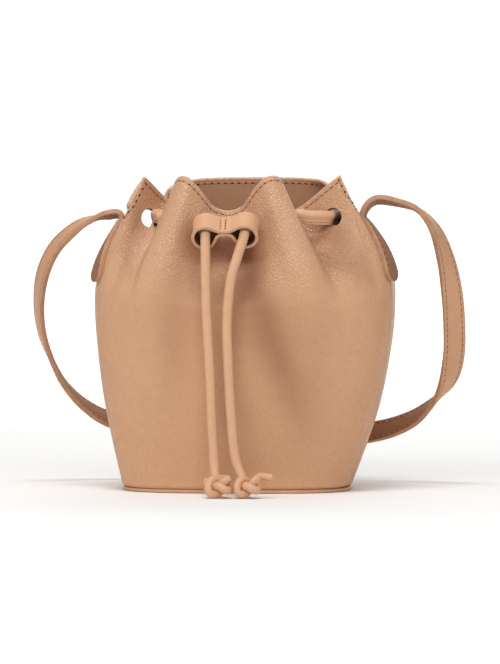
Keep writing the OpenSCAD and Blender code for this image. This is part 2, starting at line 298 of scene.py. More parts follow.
@dataclass(frozen=True)
class RimPoint:
    """A point of the drawn-up rim: plan angle of the wall below, its place, and how sharply the rim turns."""

    angle: float
    at: Point
    crease: float = 0.0


RIM: tuple[RimPoint, ...] = (
    RimPoint(-14, (0.0805, -0.014, 0.1745)),
    RimPoint(22, (0.058, 0.026, 0.199)),
    RimPoint(50, (0.0435, 0.042, 0.202)),
    RimPoint(90, (0.002, 0.047, 0.2025)),
    RimPoint(130, (-0.0345, 0.042, 0.201)),
    RimPoint(147, (-0.0495, 0.028, 0.194)),
    RimPoint(152, (-0.052, 0.022, 0.173)),
    RimPoint(166, (-0.0575, 0.011, 0.165)),
    RimPoint(184, (-0.065, -0.002, 0.167)),
    RimPoint(198, (-0.072, -0.016, 0.174)),
    RimPoint(199.4, (-0.0722, -0.0258, 0.1752)),
    RimPoint(201, (-0.0704, -0.0308, 0.1776)),
    RimPoint(204.5, (-0.0648, -0.0317, 0.187)),
    RimPoint(209, (-0.0575, -0.03, 0.201), crease=0.85),
    RimPoint(229, (-0.0425, -0.012, 0.187)),
    RimPoint(233.5, (-0.037, -0.037, 0.2)),
    RimPoint(243, (-0.028, -0.047, 0.2)),
    RimPoint(251, (-0.0195, -0.042, 0.191)),
    RimPoint(258, (-0.013, -0.036, 0.1825)),
    RimPoint(267, (-0.004, -0.032, 0.1795)),
    RimPoint(276, (0.0055, -0.035, 0.1825)),
    RimPoint(284, (0.0135, -0.043, 0.193)),
    RimPoint(291, (0.021, -0.049, 0.2)),
    RimPoint(300, (0.031, -0.043, 0.2)),
    RimPoint(308, (0.0355, -0.014, 0.180)),
    RimPoint(331, (0.068, -0.028, 0.202), crease=0.85),
    RimPoint(338.5, (0.0753, -0.028, 0.187)),
    RimPoint(342.5, (0.079, -0.0248, 0.1785)),
)


@dataclass(frozen=True)
class BagWall:
    """The outer face of the bag: a rounded oblong that swells from the base and gathers to the rim.

    Places on it are a plan angle in degrees, 0 to the right and 90 to the rear, and a height: 0 at the base,
    1 at the fullest section and 2 at the rim.
    """

    base: tuple[float, float] = (0.148, 0.102)
    bulge: tuple[float, float] = (0.195, 0.126)
    base_z: float = 0.0025
    bulge_z: float = 0.117
    base_round: float = 3.0
    bulge_round: float = 2.45
    swell_power: float = 1.6
    lean: float = 0.005
    fold_power: float = 0.9
    side_power: float = 2.3
    pull_ease: float = 0.2
    rim_slack: float = 0.8
    flaps: tuple[float, ...] = (147.0, 212.0, 332.0)
    flap_reach: float = 8.0
    flap_hold: float = 0.85
    side_focus: int = 3
    seam_right: float = -14.0
    seam_left: float = 198.0
    turn_step: float = 0.6
    height_step: float = 0.02
    hem_rise: float = 0.085
    hem_rounds: int = 6
    hem_range: tuple[float, float] = (1.7, 1.99)
    bulge_share: float = 0.6
    fewest: int = 8

    def rim_at(self, t: Array) -> Array:
        """The rim over plan angles t."""
        p = np.array([r.at for r in RIM])
        a = np.array([r.angle for r in RIM])
        crease = np.array([r.crease for r in RIM])[:, None]
        p_next, a_next = np.roll(p, -1, axis=0), np.append(a[1:], a[0] + 360)
        step = (p_next - p) / (a_next - a)[:, None]
        step_back = np.roll(step, 1, axis=0)
        span_back = np.roll(a_next - a, 1)[:, None]
        span = (a_next - a)[:, None]
        soft = self.rim_slack * (step * span + step_back * span_back) / (span + span_back)
        leave = soft + crease * (step - soft)
        arrive = soft + crease * (step_back - soft)
        tt = (t - a[0]) % 360 + a[0]
        i = np.clip(np.searchsorted(a, tt, side="right") - 1, 0, len(a) - 1)
        j = (i + 1) % len(a)
        k = ((tt - a[i]) / (a_next[i] - a[i]))[..., None]
        w = (a_next[i] - a[i])[..., None]
        return hermite(p[i], leave[i] * w, p[j], arrive[j] * w, k)

    def low(self, t: Array, h: Array) -> Array:
        """The wall up to its fullest section."""
        swell = 1 - (1 - h) ** self.swell_power
        a, b = ((lo + (hi - lo) * swell) / 2 for lo, hi in zip(self.base, self.bulge))
        n = self.base_round + (self.bulge_round - self.base_round) * swell
        x, y = oblong(t, a, b, n)
        x = x + self.lean * swell
        return np.stack([x, y, self.base_z + (self.bulge_z - self.base_z) * h + 0 * x], axis=-1)

    def at(self, t: Array, h: Array) -> Array:
        """Points of the wall at plan angles t and heights h."""
        t, h = np.broadcast_arrays(np.asarray(t, float), np.asarray(h, float))
        low = self.low(t, np.clip(h, 0, 1))
        v = np.clip(h - 1, 0, 1)
        side = np.abs(np.cos(np.radians(t))) ** self.side_focus
        for flap in self.flaps:
            side = side * (1 - self.flap_hold * np.exp(-(((t % 360 - flap) / self.flap_reach) ** 2)))
        power = self.fold_power + (self.side_power - self.fold_power) * side
        pull = ((1 + self.pull_ease) * v * v / (v + self.pull_ease)) ** power
        return low + (self.rim_at(t) - low) * np.stack([pull, pull, v], axis=-1)

    def normal(self, t: Array, h: Array) -> Array:
        """Outward directions of the wall."""
        across = self.at(np.add(t, self.turn_step), h) - self.at(np.subtract(t, self.turn_step), h)
        up = self.at(t, np.add(h, self.height_step)) - self.at(t, np.subtract(h, self.height_step))
        return unit(np.cross(across, up))

    def off(self, t: Array, h: Array, lift: Array) -> Array:
        """Points that stand off the wall by lift, or lie inside it where lift is negative."""
        return self.at(t, h) + np.asarray(lift, float)[..., None] * self.normal(t, h)

    def hem(self, t: Array, inset: float) -> tuple[Array, Array]:
        """Places a fixed distance in from the rim, measured square to it over the surface.

        Args:
            t: Plan angles along the rim.
            inset: The distance.

        Returns:
            Plan angles and heights of the places.
        """
        rim = self.at(t, RIM_H)
        inward = np.cross(headings(rim), self.normal(t, np.full_like(t, 1.97)))
        inward *= np.sign(np.sum(inward * (self.at(t, 1.95) - rim), axis=-1))[:, None]
        goal = rim + inset * unit(inward)
        a, h = t.copy(), np.full_like(t, RIM_H - inset / self.hem_rise)
        for _ in range(self.hem_rounds):
            gap = goal - self.at(a, h)
            along = (self.at(a + 0.3, h) - self.at(a - 0.3, h)) / 0.6
            up = (self.at(a, h + 0.01) - self.at(a, h - 0.01)) / 0.02
            aa, au, uu = (np.sum(p * q, axis=-1) for p, q in ((along, along), (along, up), (up, up)))
            ga, gu = np.sum(gap * along, axis=-1), np.sum(gap * up, axis=-1)
            det = aa * uu - au * au + 1e-12
            a = a + np.clip((ga * uu - gu * au) / det, -1, 1)
            h = np.clip(h + np.clip((gu * aa - ga * au) / det, -0.03, 0.03), *self.hem_range)
        return a, h

    def columns(self, first: float, last: float, pitch: float) -> Array:
        """Plan angles from one seam to the other, closest together where the rim is longest.

        Args:
            first: Plan angle of the first seam.
            last: Plan angle of the last seam.
            pitch: Spacing to aim for, measured along the rim and the fullest section.

        Returns:
            The plan angles.
        """
        t = np.linspace(first, last, 2000)
        run = run_lengths(self.at(t, RIM_H)) + self.bulge_share * run_lengths(self.at(t, 1.0))
        count = max(int(run[-1] / (1 + self.bulge_share) / pitch), self.fewest)
        return np.interp(np.linspace(0, run[-1], count + 1), run, t)


WALL = BagWall()
SEAMS: dict[Side, float] = {Side.LEFT: WALL.seam_left, Side.RIGHT: WALL.seam_right}
# Thicknesses: the body leather, the facing, and the play between two plies.
LEATHER = 0.0016
FACING = 0.0010
PLY = 0.0001
MOUTH_PLY = LEATHER + 2 * PLY + FACING
# Heights on the wall of the cord holes and of the facing's lower edge.
HOLE_H = 1.8
FACING_H = 1.6
HOLE_D = 0.0125
# Plan angles of each side's cord holes, from the one behind the slider round to the rear one.
HOLES: dict[Side, tuple[float, ...]] = {
    Side.LEFT: (259.0, 231.5, 222.0, 138.0),
    Side.RIGHT: (276.0, 303.5, 321.0, 395.0),
}
FRONT_HOLES = tuple(t for pair in zip(HOLES[Side.LEFT][:3], HOLES[Side.RIGHT][:3]) for t in pair)
REAR_HOLES = (HOLES[Side.LEFT][3], HOLES[Side.RIGHT][3] - 360)


def srgb(*tones: int) -> Colour:
    """A colour given as red, green and blue on a screen, 0 to 255, for a shader socket."""
    parts = [tone / 255 for tone in tones]
    return (*(c / 12.92 if c <= 0.04045 else ((c + 0.055) / 1.055) ** 2.4 for c in parts), 1.0)


class NodeBench:
    """Places and links the nodes of one tree."""

    def __init__(self, tree: Tree) -> None:
        """Starts on an empty tree."""
        self.tree = tree
        tree.nodes.clear()

    def node(self, kind: str, settings: dict | None = None, **inputs: object) -> Node:
        """Adds a node.

        Args:
            kind: The node's type, without the leading ShaderNode.
            settings: The node's own properties.
            inputs: Values or sockets to link from, by name with _ for a space, or i0, i1 for a position.

        Returns:
            The node.
        """
        made = self.tree.nodes.new("ShaderNode" + kind)
        for name, value in (settings or {}).items():
            setattr(made, name, value)
        for name, value in inputs.items():
            numbered = name[0] == "i" and name[1:].isdigit()
            self.plug(made.inputs[int(name[1:]) if numbered else name.replace("_", " ")], value)
        return made

    def plug(self, socket: Socket, value: object) -> None:
        """Links a socket from another one, or sets its value."""
        if isinstance(value, Socket):
            self.tree.links.new(value, socket)
        else:
            socket.default_value = value

    def feed(self, skin: Node, **inputs: object) -> None:
        """Links or sets sockets of a shader, by name with _ for a space."""
        for name, value in inputs.items():
            self.plug(skin.inputs[name.replace("_", " ")], value)

    def maths(self, operation: str, a: object, b: object = 0.5, clamp: bool = False) -> Socket:
        """A sum, product or other operation on two values, as a socket."""
        return self.node("Math", {"operation": operation, "use_clamp": clamp}, i0=a, i1=b).outputs[0]

    def times(self, a: object, b: object) -> Socket:
        """The product of two values, as a socket."""
        return self.maths("MULTIPLY", a, b)

    def span(self, value: Socket, source: tuple[float, float], goal: tuple[float, float]) -> Socket:
        """A value carried smoothly from one range to another and held at its ends."""
        ranges = {"From_Min": source[0], "From_Max": source[1], "To_Min": goal[0], "To_Max": goal[1]}
        return self.node("MapRange", {"interpolation_type": "SMOOTHSTEP"}, Value=value, **ranges).outputs[0]

    def mixed(self, share: object, a: object, b: object) -> Socket:
        """Two colours mixed by a share, as a socket."""
        return self.node("Mix", {"data_type": "RGBA"}, i0=share, i6=a, i7=b).outputs[2]

    def mark(self, name: str) -> Socket:
        """A number stored on the mesh's points, as a socket."""
        return self.node("Attribute", {"attribute_name": name}).outputs["Fac"]

    def noise(self, place_of: Socket, scale: float, detail: float, rough: float = 0.5) -> Socket:
        """Soft noise, as a socket."""
        return self.node("TexNoise", Vector=place_of, Scale=scale, Detail=detail, Roughness=rough).outputs[0]

    def bump(self, height: Socket, depth: float, strength: object) -> Socket:
        """A normal bent by a height, as a socket."""
        return self.node("Bump", Strength=strength, Distance=depth, Height=height).outputs[0]

    def group(self, tree: Tree, **inputs: object) -> Node:
        """Places a node group with its input values."""
        return self.node("Group", {"node_tree": tree}, **inputs)


class GroupBench(NodeBench):
    """Makes a shader node group with named sockets."""

    def __init__(self, name: str, inputs: dict[str, str | float], outputs: Sequence[str]) -> None:
        """Opens a new group.

        Args:
            name: The group's name.
            inputs: Each input with its default number, or "vector".
            outputs: Names of the value outputs.
        """
        super().__init__(bpy.data.node_groups.new(name, "ShaderNodeTree"))
        for label, value in inputs.items():
            kind = "NodeSocketVector" if value == "vector" else "NodeSocketFloat"
            socket = self.tree.interface.new_socket(label, in_out="INPUT", socket_type=kind)
            if kind == "NodeSocketFloat":
                socket.default_value = value
        for label in outputs:
            self.tree.interface.new_socket(label, in_out="OUTPUT", socket_type="NodeSocketFloat")
        self.given = self.tree.nodes.new("NodeGroupInput").outputs
        self.result = self.tree.nodes.new("NodeGroupOutput").inputs

    def put(self, label: str, socket: Socket) -> None:
        """Links a value to an output of the group."""
        self.tree.links.new(socket, self.result[label])


def pebble_group() -> Tree:
    """Tumbled leather grain: round pebbles with creases between them.

    Returns:
        A group from Place and Per Metre to Height and Crease.
    """
    b = GroupBench("PebbleGrain", {"Place": "vector", "Per Metre": 1000.0}, ("Height", "Crease"))
    stir = b.node("TexNoise", Vector=b.given["Place"], Scale=420.0, Detail=2.0)
    lean = b.node("VectorMath", {"operation": "SUBTRACT"}, i0=stir.outputs["Color"], i1=(0.5, 0.5, 0.5))
    lean = b.node("VectorMath", {"operation": "SCALE"}, i0=lean.outputs[0], Scale=0.0011)
    where = b.node("VectorMath", {"operation": "ADD"}, i0=b.given["Place"], i1=lean.outputs[0])
    spread = {"Vector": where.outputs[0], "Scale": b.given["Per Metre"]}
    cells = b.node("TexVoronoi", {"feature": "DISTANCE_TO_EDGE"}, **spread)
    domes = b.node("TexVoronoi", {"feature": "SMOOTH_F1"}, **spread, Smoothness=0.6)
    edge = b.span(cells.outputs["Distance"], (0.0, 0.22), (0.0, 1.0))
    dome = b.span(domes.outputs["Distance"], (0.75, 0.05), (0.0, 1.0))
    size = b.span(b.noise(b.given["Place"], scale=310.0, detail=1.0), (0.2, 0.8), (0.85, 1.05))
    b.put("Height", b.times(b.maths("ADD", b.times(edge, 0.55), b.times(dome, 0.45)), size))
    b.put("Crease", b.maths("SUBTRACT", 1.0, edge))
    return b.tree


def pore_group() -> Tree:
    """Smooth leather grain: fine pores and short hair lines.

    Returns:
        A group from Place and Per Metre to Height.
    """
    b = GroupBench("PoreGrain", {"Place": "vector", "Per Metre": 2600.0}, ("Height",))
    pores = b.node("TexVoronoi", {"feature": "F1"}, Vector=b.given["Place"], Scale=b.given["Per Metre"])
    fine = b.noise(b.given["Place"], scale=1500.0, detail=3.0, rough=0.6)
    pits = b.span(pores.outputs["Distance"], (0.1, 0.5), (0.0, 0.5))
    b.put("Height", b.maths("ADD", pits, b.times(fine, 0.5)))
    return b.tree


def tone_group() -> Tree:
    """Slow changes of tone over a hide.

    Returns:
        A group from Place to Tone, about 0 to 1, and Mottle, a finer one.
    """
    b = GroupBench("HideTone", {"Place": "vector"}, ("Tone", "Mottle"))
    slow = b.noise(b.given["Place"], scale=16.0, detail=2.0)
    quick = b.noise(b.given["Place"], scale=170.0, detail=3.0, rough=0.55)
    for label, noise in (("Tone", slow), ("Mottle", quick)):
        b.put(label, b.span(noise, (0.3, 0.7), (0.0, 1.0)))
    return b.tree


def rub_group() -> Tree:
    """Wear along edges: the stored edge mark, broken up.

    Returns:
        A group from Place and Mark to Wear.
    """
    b = GroupBench("EdgeRub", {"Place": "vector", "Mark": 0.0}, ("Wear",))
    broken = b.noise(b.given["Place"], scale=260.0, detail=4.0, rough=0.65)
    broken = b.span(broken, (0.3, 0.62), (0.25, 1.0))
    b.put("Wear", b.maths("MULTIPLY", b.given["Mark"], broken, clamp=True))
    return b.tree


def weave_group() -> Tree:
    """Plain weave: threads over and under each other.

    Returns:
        A group from Place and Per Metre to Height.
    """
    b = GroupBench("PlainWeave", {"Place": "vector", "Per Metre": 900.0}, ("Height",))
    spread = {"Vector": b.given["Place"], "Scale": b.given["Per Metre"], "Distortion": 0.4}
    across, along = (
        b.node("TexWave", {"wave_type": "BANDS", "wave_profile": "SIN", "bands_direction": way}, **spread)
        for way in ("X", "Z")
    )
    b.put("Height", b.maths("MAXIMUM", across.outputs["Fac"], along.outputs["Fac"]))
    return b.tree


GRAIN = {
    "pebble": pebble_group(),
    "pore": pore_group(),
    "tone": tone_group(),
    "rub": rub_group(),
    "weave": weave_group(),
}


@dataclass(frozen=True)
class Finish:
    """Base of the finishes: a label, two tones, and a material of each that is made once and kept."""

    label: str
    light: Colour
    deep: Colour
    kept: ClassVar[dict[str, Material]] = {}

    def material(self) -> Material:
        """The finish as a material, made the first time it is asked for."""
        key = f"{type(self).__name__}_{self.label}"
        if key not in Finish.kept:
            made = bpy.data.materials.new(key)
            made.use_nodes = True
            bench = NodeBench(made.node_tree)
            out = bench.node("OutputMaterial")
            skin = bench.node("BsdfPrincipled")
            bench.plug(out.inputs[0], skin.outputs[0])
            self.dress(bench, skin, bench.node("TexCoord").outputs["Object"])
            Finish.kept[key] = made
        return Finish.kept[key]

    def dress(self, b: NodeBench, skin: Node, place_of: Socket) -> None:
        """Links the finish to the shader."""
        raise NotImplementedError


@dataclass(frozen=True)
class PebbledLeather(Finish):
    """Tumbled, pebbled leather with soft gloss on its grain."""

    rubbed: Colour
    # Colour of the painted shade laid into the gathers beside and under the slider.
    painted_shade_colour: Colour = srgb(136, 88, 59)
    per_metre: float = 500.0
    drawn: Point = (1.0, 1.0, 1.4)
    relief: float = 0.00030
    glint: float = 0.00040
    rough: float = 0.4
    tone_share: float = 0.22
    low_share: float = 0.28
    mottle_share: float = 0.10
    wear_share: float = 0.6
    low_rough: float = 0.16
    coat_rough: float = 0.16
    shine: float = 0.2
    crease_turn: float = -38.0
    crease_depth: float = 3.2

    def dress(self, b: NodeBench, skin: Node, place_of: Socket) -> None:
        """Links grain, tone, rubbed edges, painted shade in the gathers and stretch creases to the shader."""
        drawn = b.node("Mapping", Vector=place_of, Scale=self.drawn)
        grain = b.group(GRAIN["pebble"], Place=drawn.outputs[0], Per_Metre=self.per_metre).outputs
        tone = b.group(GRAIN["tone"], Place=place_of).outputs
        wear = b.group(GRAIN["rub"], Place=place_of, Mark=b.mark("edge")).outputs["Wear"]
        low, spots = b.times(grain["Crease"], self.low_share), b.times(tone["Mottle"], self.mottle_share)
        hide = b.mixed(b.times(tone["Tone"], self.tone_share), self.light, self.deep)
        hide = b.mixed(b.maths("ADD", low, spots, clamp=True), hide, self.deep)
        hide = b.mixed(b.times(wear, self.wear_share), hide, self.rubbed)
        # Painted shade: the hide darkens toward the shade colour by the points' shade mark.
        hide = b.mixed(b.mark("painted_shade"), hide, self.painted_shade_colour)
        mottle = b.span(tone["Mottle"], (0, 1), (self.rough - 0.05, self.rough + 0.06))
        turned = b.node("Mapping", Vector=place_of, Rotation=(0.0, math.radians(self.crease_turn), 0.0))
        waves = {"Scale": 150.0, "Distortion": 9.0, "Detail": 3.0, "Detail_Scale": 1.6}
        bands = {"bands_direction": "Z", "wave_profile": "SIN"}
        lines = b.node("TexWave", bands, Vector=turned.outputs[0], **waves).outputs["Fac"]
        creases = b.times(b.times(lines, b.mark("stretch")), self.crease_depth)
        height = b.maths("ADD", grain["Height"], creases)
        fill = b.mark("grain")
        b.feed(
            skin,
            Base_Color=hide,
            Roughness=b.maths("ADD", b.times(grain["Crease"], self.low_rough), mottle),
            Normal=b.bump(height, self.relief, fill),
            Coat_Normal=b.bump(height, self.glint, fill),
            Coat_Weight=b.times(fill, fill),
            Coat_Roughness=self.coat_rough,
            Specular_IOR_Level=self.shine,
        )


@dataclass(frozen=True)
class SmoothLeather(Finish):
    """Smooth leather with fine pores, for the strap, the cord, the slider and the facing."""

    # Colour of the painted shade on the cord inside its holes.
    hidden: Colour = srgb(58, 36, 24)
    rough: float = 0.44
    relief: float = 0.00004
    per_metre: float = 2600.0
    mottle_share: float = 0.18
    shine: float = 0.45

    def dress(self, b: NodeBench, skin: Node, place_of: Socket) -> None:
        """Links pores, tone and painted shade where the cord runs into its holes to the shader."""
        pores = b.group(GRAIN["pore"], Place=place_of, Per_Metre=self.per_metre).outputs["Height"]
        mottle = b.group(GRAIN["tone"], Place=place_of).outputs["Mottle"]
        hide = b.mixed(b.times(mottle, self.mottle_share), self.light, self.deep)
        b.feed(
            skin,
            # Painted shade by the points' mark, darkening the cord inside its holes.
            Base_Color=b.mixed(b.mark("painted_shade"), hide, self.hidden),
            Roughness=b.span(mottle, (0, 1), (self.rough - 0.05, self.rough + 0.07)),
            Normal=b.bump(pores, self.relief, strength=0.6),
            Specular_IOR_Level=self.shine,
        )


@dataclass(frozen=True)
class CutEdge(Finish):
    """A cut and burnished leather edge."""

    def dress(self, b: NodeBench, skin: Node, place_of: Socket) -> None:
        """Links the fibre speckle to the shader."""
        fibre = b.noise(place_of, scale=1900.0, detail=4.0, rough=0.7)
        mottle = b.group(GRAIN["tone"], Place=place_of).outputs["Mottle"]
        share = b.maths("ADD", b.times(fibre, 0.5), b.times(mottle, 0.3), clamp=True)
        b.feed(
            skin,
            Base_Color=b.mixed(share, self.light, self.deep),
            Roughness=b.span(fibre, (0.3, 0.7), (0.5, 0.7)),
            Normal=b.bump(fibre, depth=0.00005, strength=0.5),
        )


@dataclass(frozen=True)
class SewingThread(Finish):
    """Twisted sewing thread."""

    def dress(self, b: NodeBench, skin: Node, place_of: Socket) -> None:
        """Links the twist to the shader."""
        turned = b.node("Mapping", Vector=place_of, Rotation=(0.6, 0.5, 0.7)).outputs[0]
        waves = {"Vector": turned, "Scale": 900.0, "Distortion": 1.5}
        twist = b.node("TexWave", {"bands_direction": "DIAGONAL"}, **waves).outputs["Fac"]
        b.feed(
            skin,
            Base_Color=b.mixed(twist, self.deep, self.light),
            Roughness=b.span(twist, (0, 1), (0.75, 0.55)),
            Normal=b.bump(twist, depth=0.00008, strength=0.7),
        )


@dataclass(frozen=True)
class LiningCloth(Finish):
    """Plain woven lining."""

    per_metre: float = 330.0

    def dress(self, b: NodeBench, skin: Node, place_of: Socket) -> None:
        """Links the weave to the shader."""
        weave = b.group(GRAIN["weave"], Place=place_of, Per_Metre=self.per_metre).outputs["Height"]
        mottle = b.group(GRAIN["tone"], Place=place_of).outputs["Mottle"]
        share = b.maths("ADD", b.times(weave, 0.7), b.times(mottle, 0.25), clamp=True)
        b.feed(
            skin,
            Base_Color=b.mixed(share, self.deep, self.light),
            Roughness=b.span(weave, (0, 1), (0.9, 0.72)),
            Normal=b.bump(weave, depth=0.00012, strength=0.6),
            Sheen_Weight=0.2,
        )


@dataclass(frozen=True)
class Fibreboard(Finish):
    """Pressed fibre board under the lining."""

    def dress(self, b: NodeBench, skin: Node, place_of: Socket) -> None:
        """Links the fibre flecks to the shader."""
        fleck = b.noise(place_of, scale=700.0, detail=5.0, rough=0.7)
        b.feed(
            skin,
            Base_Color=b.mixed(fleck, self.deep, self.light),
            Roughness=b.span(fleck, (0.3, 0.7), (0.8, 0.95)),
            Normal=b.bump(fleck, depth=0.0001, strength=0.5),
        )


BODY_HIDE = PebbledLeather("body", srgb(212, 164, 127), srgb(184, 135, 99), srgb(220, 177, 142))
BASE_HIDE = PebbledLeather(
    "base", srgb(204, 157, 121), srgb(176, 127, 92), srgb(214, 170, 136), per_metre=1150.0
)
FACING_HIDE = SmoothLeather("facing", srgb(203, 151, 115), srgb(176, 123, 90), rough=0.55)
STRAP_HIDE = SmoothLeather("strap", srgb(204, 154, 118), srgb(180, 129, 93), relief=0.00006, per_metre=1700.0)
# Darker back ply of the strap; its depth is partly painted shade, for the tabs' outer faces and the strap's
# underside.
STRAP_BACK = SmoothLeather("strap_back", srgb(146, 101, 73), srgb(116, 78, 55), rough=0.6)
CORD_HIDE = SmoothLeather("cord", srgb(216, 168, 131), srgb(194, 144, 108))
SLIDER_HIDE = SmoothLeather("slider", srgb(215, 164, 126), srgb(194, 143, 105), rough=0.42)
PALE_EDGE = CutEdge("pale", srgb(214, 172, 138), srgb(176, 130, 98))
STRAP_EDGE = CutEdge("strap_edge", srgb(200, 152, 116), srgb(158, 110, 78))
# Dark cut edge of the cord holes; on the slider's bore the same colour is painted shade inside the tubes.
DARK_EDGE_AND_SHADE = CutEdge("bore", srgb(108, 70, 48), srgb(72, 44, 30))
TAN_THREAD = SewingThread("tan", srgb(206, 160, 124), srgb(160, 110, 76))
# Painted shade of the needle holes: small dark ovals between the stitches.
NEEDLE_HOLE_SHADE = CutEdge("needle", srgb(84, 48, 30), srgb(50, 28, 18))
LINING = LiningCloth("lining", srgb(164, 118, 90), srgb(128, 88, 66))
BOARD = Fibreboard("board", srgb(150, 122, 96), srgb(116, 90, 68))


@dataclass(frozen=True)
class Stitching:
    """A row of lockstitch: thread lengths that dip into needle holes, drawn as ovals of painted shade given by
    their two half sizes.
    """

    pitch: float = 0.0045
    thread: float = 0.0030
    radius: float = 0.00027
    mark: tuple[float, float] = (0.0010, 0.00062)
    mark_lift: tuple[float, float] = (0.00004, 0.00009)
    start: float = 0.5
    stop: float = 0.3
    sides: int = 6
    mark_sides: int = 8

    def sew(self, draft: Draft, route: Array, up: Array) -> None:
        """Sews along a route on a surface.

        Args:
            draft: Takes the thread as finish 0 and the painted shade of the needle holes as finish 1.
            route: Points on the surface.
            up: Directions out of the surface at those points.
        """
        total = run_lengths(route)[-1]
        middles = np.arange(self.start * self.pitch, total - self.stop * self.pitch, self.pitch)
        share = np.array([-0.5, -0.34, 0.0, 0.34, 0.5])
        rise = np.array([-0.9, 0.35, 0.75, 0.35, -0.9]) * self.radius
        thick = np.array([0.45, 0.95, 1.0, 0.95, 0.45]) * self.radius
        turn = np.linspace(0, 2 * math.pi, self.sides, endpoint=False)
        s = np.clip(middles[:, None] + share * self.thread, 0, total).ravel()
        p = at_lengths(route, route, s).reshape(len(middles), len(share), 3)
        n = unit(at_lengths(route, up, s)).reshape(p.shape)
        across = unit(np.cross(unit(p[:, -1:] - p[:, :1]), n))
        high = (rise[:, None] + thick[:, None] * np.sin(turn))[None, :, :, None]
        wide = (thick[:, None] * np.cos(turn))[None, :, :, None]
        for ring in p[:, :, None] + high * n[:, :, None] + wide * across[:, :, None]:
            draft.grid(ring, 0, ring=True, flip=True)
        self.prick(draft, route, up, middles[:-1] + self.pitch / 2)

    def prick(self, draft: Draft, route: Array, up: Array, s: Array) -> None:
        """Adds the needle holes, as low cones of painted shade at distances s along a route on a surface."""
        n = unit(at_lengths(route, up, s))
        along = square_to(at_lengths(route, headings(route), s), n)
        turn = np.linspace(0, 2 * math.pi, self.mark_sides, endpoint=False)
        tip = self.mark_sides
        faces = [(i, (i + 1) % tip, tip) for i in range(tip)]
        for c, a, w, u in zip(at_lengths(route, route, s), along, np.cross(n, along), n):
            oval = np.outer(np.cos(turn), a) * self.mark[0] + np.outer(np.sin(turn), w) * self.mark[1]
            draft.add(np.vstack([c + self.mark_lift[0] * u + oval, c + self.mark_lift[1] * u]), faces, 1)

    def piece(self, name: str, rows: Iterable[tuple[Array, Array]]) -> Piece:
        """Sews several rows as one piece.

        Args:
            name: Name of the piece.
            rows: Each row's points and surface directions.

        Returns:
            The stitches, not yet placed.
        """
        draft = Draft()
        for route, up in rows:
            self.sew(draft, route, up)
        return draft.to_object(name, [TAN_THREAD.material(), NEEDLE_HOLE_SHADE.material()])


RIM_STITCH = Stitching()
STRAP_STITCH = Stitching(pitch=0.0042, thread=0.0029, radius=0.00028)
CORD_STITCH = Stitching(pitch=0.0036, thread=0.0025, radius=0.00022, mark=(0.0005, 0.0003))
SLIDER_STITCH = Stitching(pitch=0.0026, thread=0.0016, radius=0.00022, mark=(0.0007, 0.00042))


@dataclass(frozen=True)
class ShadePatch:
    """A patch of painted shade on the hide: its plan angle and how dark it is over heights, and its half width.
    """

    line: Profile
    wide: float
    dark: Profile

    def share(self, t: Array, h: Array) -> Array:
        """How dark the painted shade is at places on the wall."""
        mid = np.interp(h, *np.array(self.line).T)
        return np.interp(h, *np.array(self.dark).T) * np.exp(-(((t - mid) / self.wide) ** 2))


# Painted shade and painted shadow: dark patches in the gathers round the front, beside and under the slider and
# in the flaps' hollows.
SHADE_PATCHES: tuple[ShadePatch, ...] = (
    ShadePatch(
        (
            (0.33, 293.0), (0.5, 287.0), (0.66, 282.6), (0.83, 278.0),
            (1.0, 276.0), (1.5, 273.0), (1.65, 272.0),
        ),
        6.8,
        (
            (0.1, 0.0), (0.33, 0.12), (0.5, 0.28), (0.66, 0.42), (0.83, 0.54),
            (1.1, 0.6), (1.4, 0.66), (1.62, 0.75), (1.8, 0.0),
        ),
    ),
    ShadePatch(
        ((0.5, 250.0), (1.0, 250.0), (1.5, 251.0), (1.65, 252.0)),
        7.5,
        ((0.35, 0.0), (0.6, 0.14), (0.83, 0.26), (1.1, 0.26), (1.4, 0.42), (1.62, 0.62), (1.8, 0.0)),
    ),
    ShadePatch(
        ((1.3, 267.0), (1.8, 267.0)),
        15.0,
        ((1.4, 0.0), (1.5, 0.38), (1.6, 0.7), (1.74, 0.75), (1.82, 0.0)),
    ),
    ShadePatch(
        ((1.3, 222.0), (1.46, 217.0), (1.67, 216.0), (1.87, 205.0)),
        8.5,
        ((1.2, 0.0), (1.35, 0.25), (1.47, 0.44), (1.67, 0.46), (1.8, 0.3), (1.9, 0.08), (1.97, 0.0)),
    ),
    ShadePatch(
        ((1.28, 320.0), (1.38, 318.0), (1.5, 316.0), (1.66, 319.0)),
        9.0,
        (
            (1.13, 0.0), (1.28, 0.28), (1.38, 0.46), (1.5, 0.54),
            (1.66, 0.56), (1.78, 0.36), (1.88, 0.08), (1.95, 0.0),
        ),
    ),
    ShadePatch(
        ((0.4, 296.0), (0.8, 290.0), (1.1, 286.0)),
        13.0,
        ((0.2, 0.0), (0.5, 0.12), (0.85, 0.2), (1.05, 0.12), (1.2, 0.0)),
    ),
)


@dataclass(frozen=True)
class Panel:
    """One of the two panels: its name, its two seams and its cord holes, as plan angles."""

    name: str
    first: float
    last: float
    holes: tuple[float, ...]


@dataclass(frozen=True)
class Layer:
    """A sheet inside both panels: heights of its edges, depth of its inner face, and whether it has holes."""

    name: str
    low: float
    high: float
    depth: float
    finish: Finish
    slot: Slot
    pierced: bool


PANELS = (
    Panel("front", WALL.seam_left, 360 + WALL.seam_right, FRONT_HOLES),
    Panel("rear", WALL.seam_right, WALL.seam_left, REAR_HOLES),
)
LAYERS = (
    Layer("facing", FACING_H, 1.999, MOUTH_PLY, FACING_HIDE, Slot.FACING, True),
    Layer("lining", 0.04, FACING_H + 0.01, LEATHER + 2 * PLY + 0.0006, LINING, Slot.LINING, False),
)


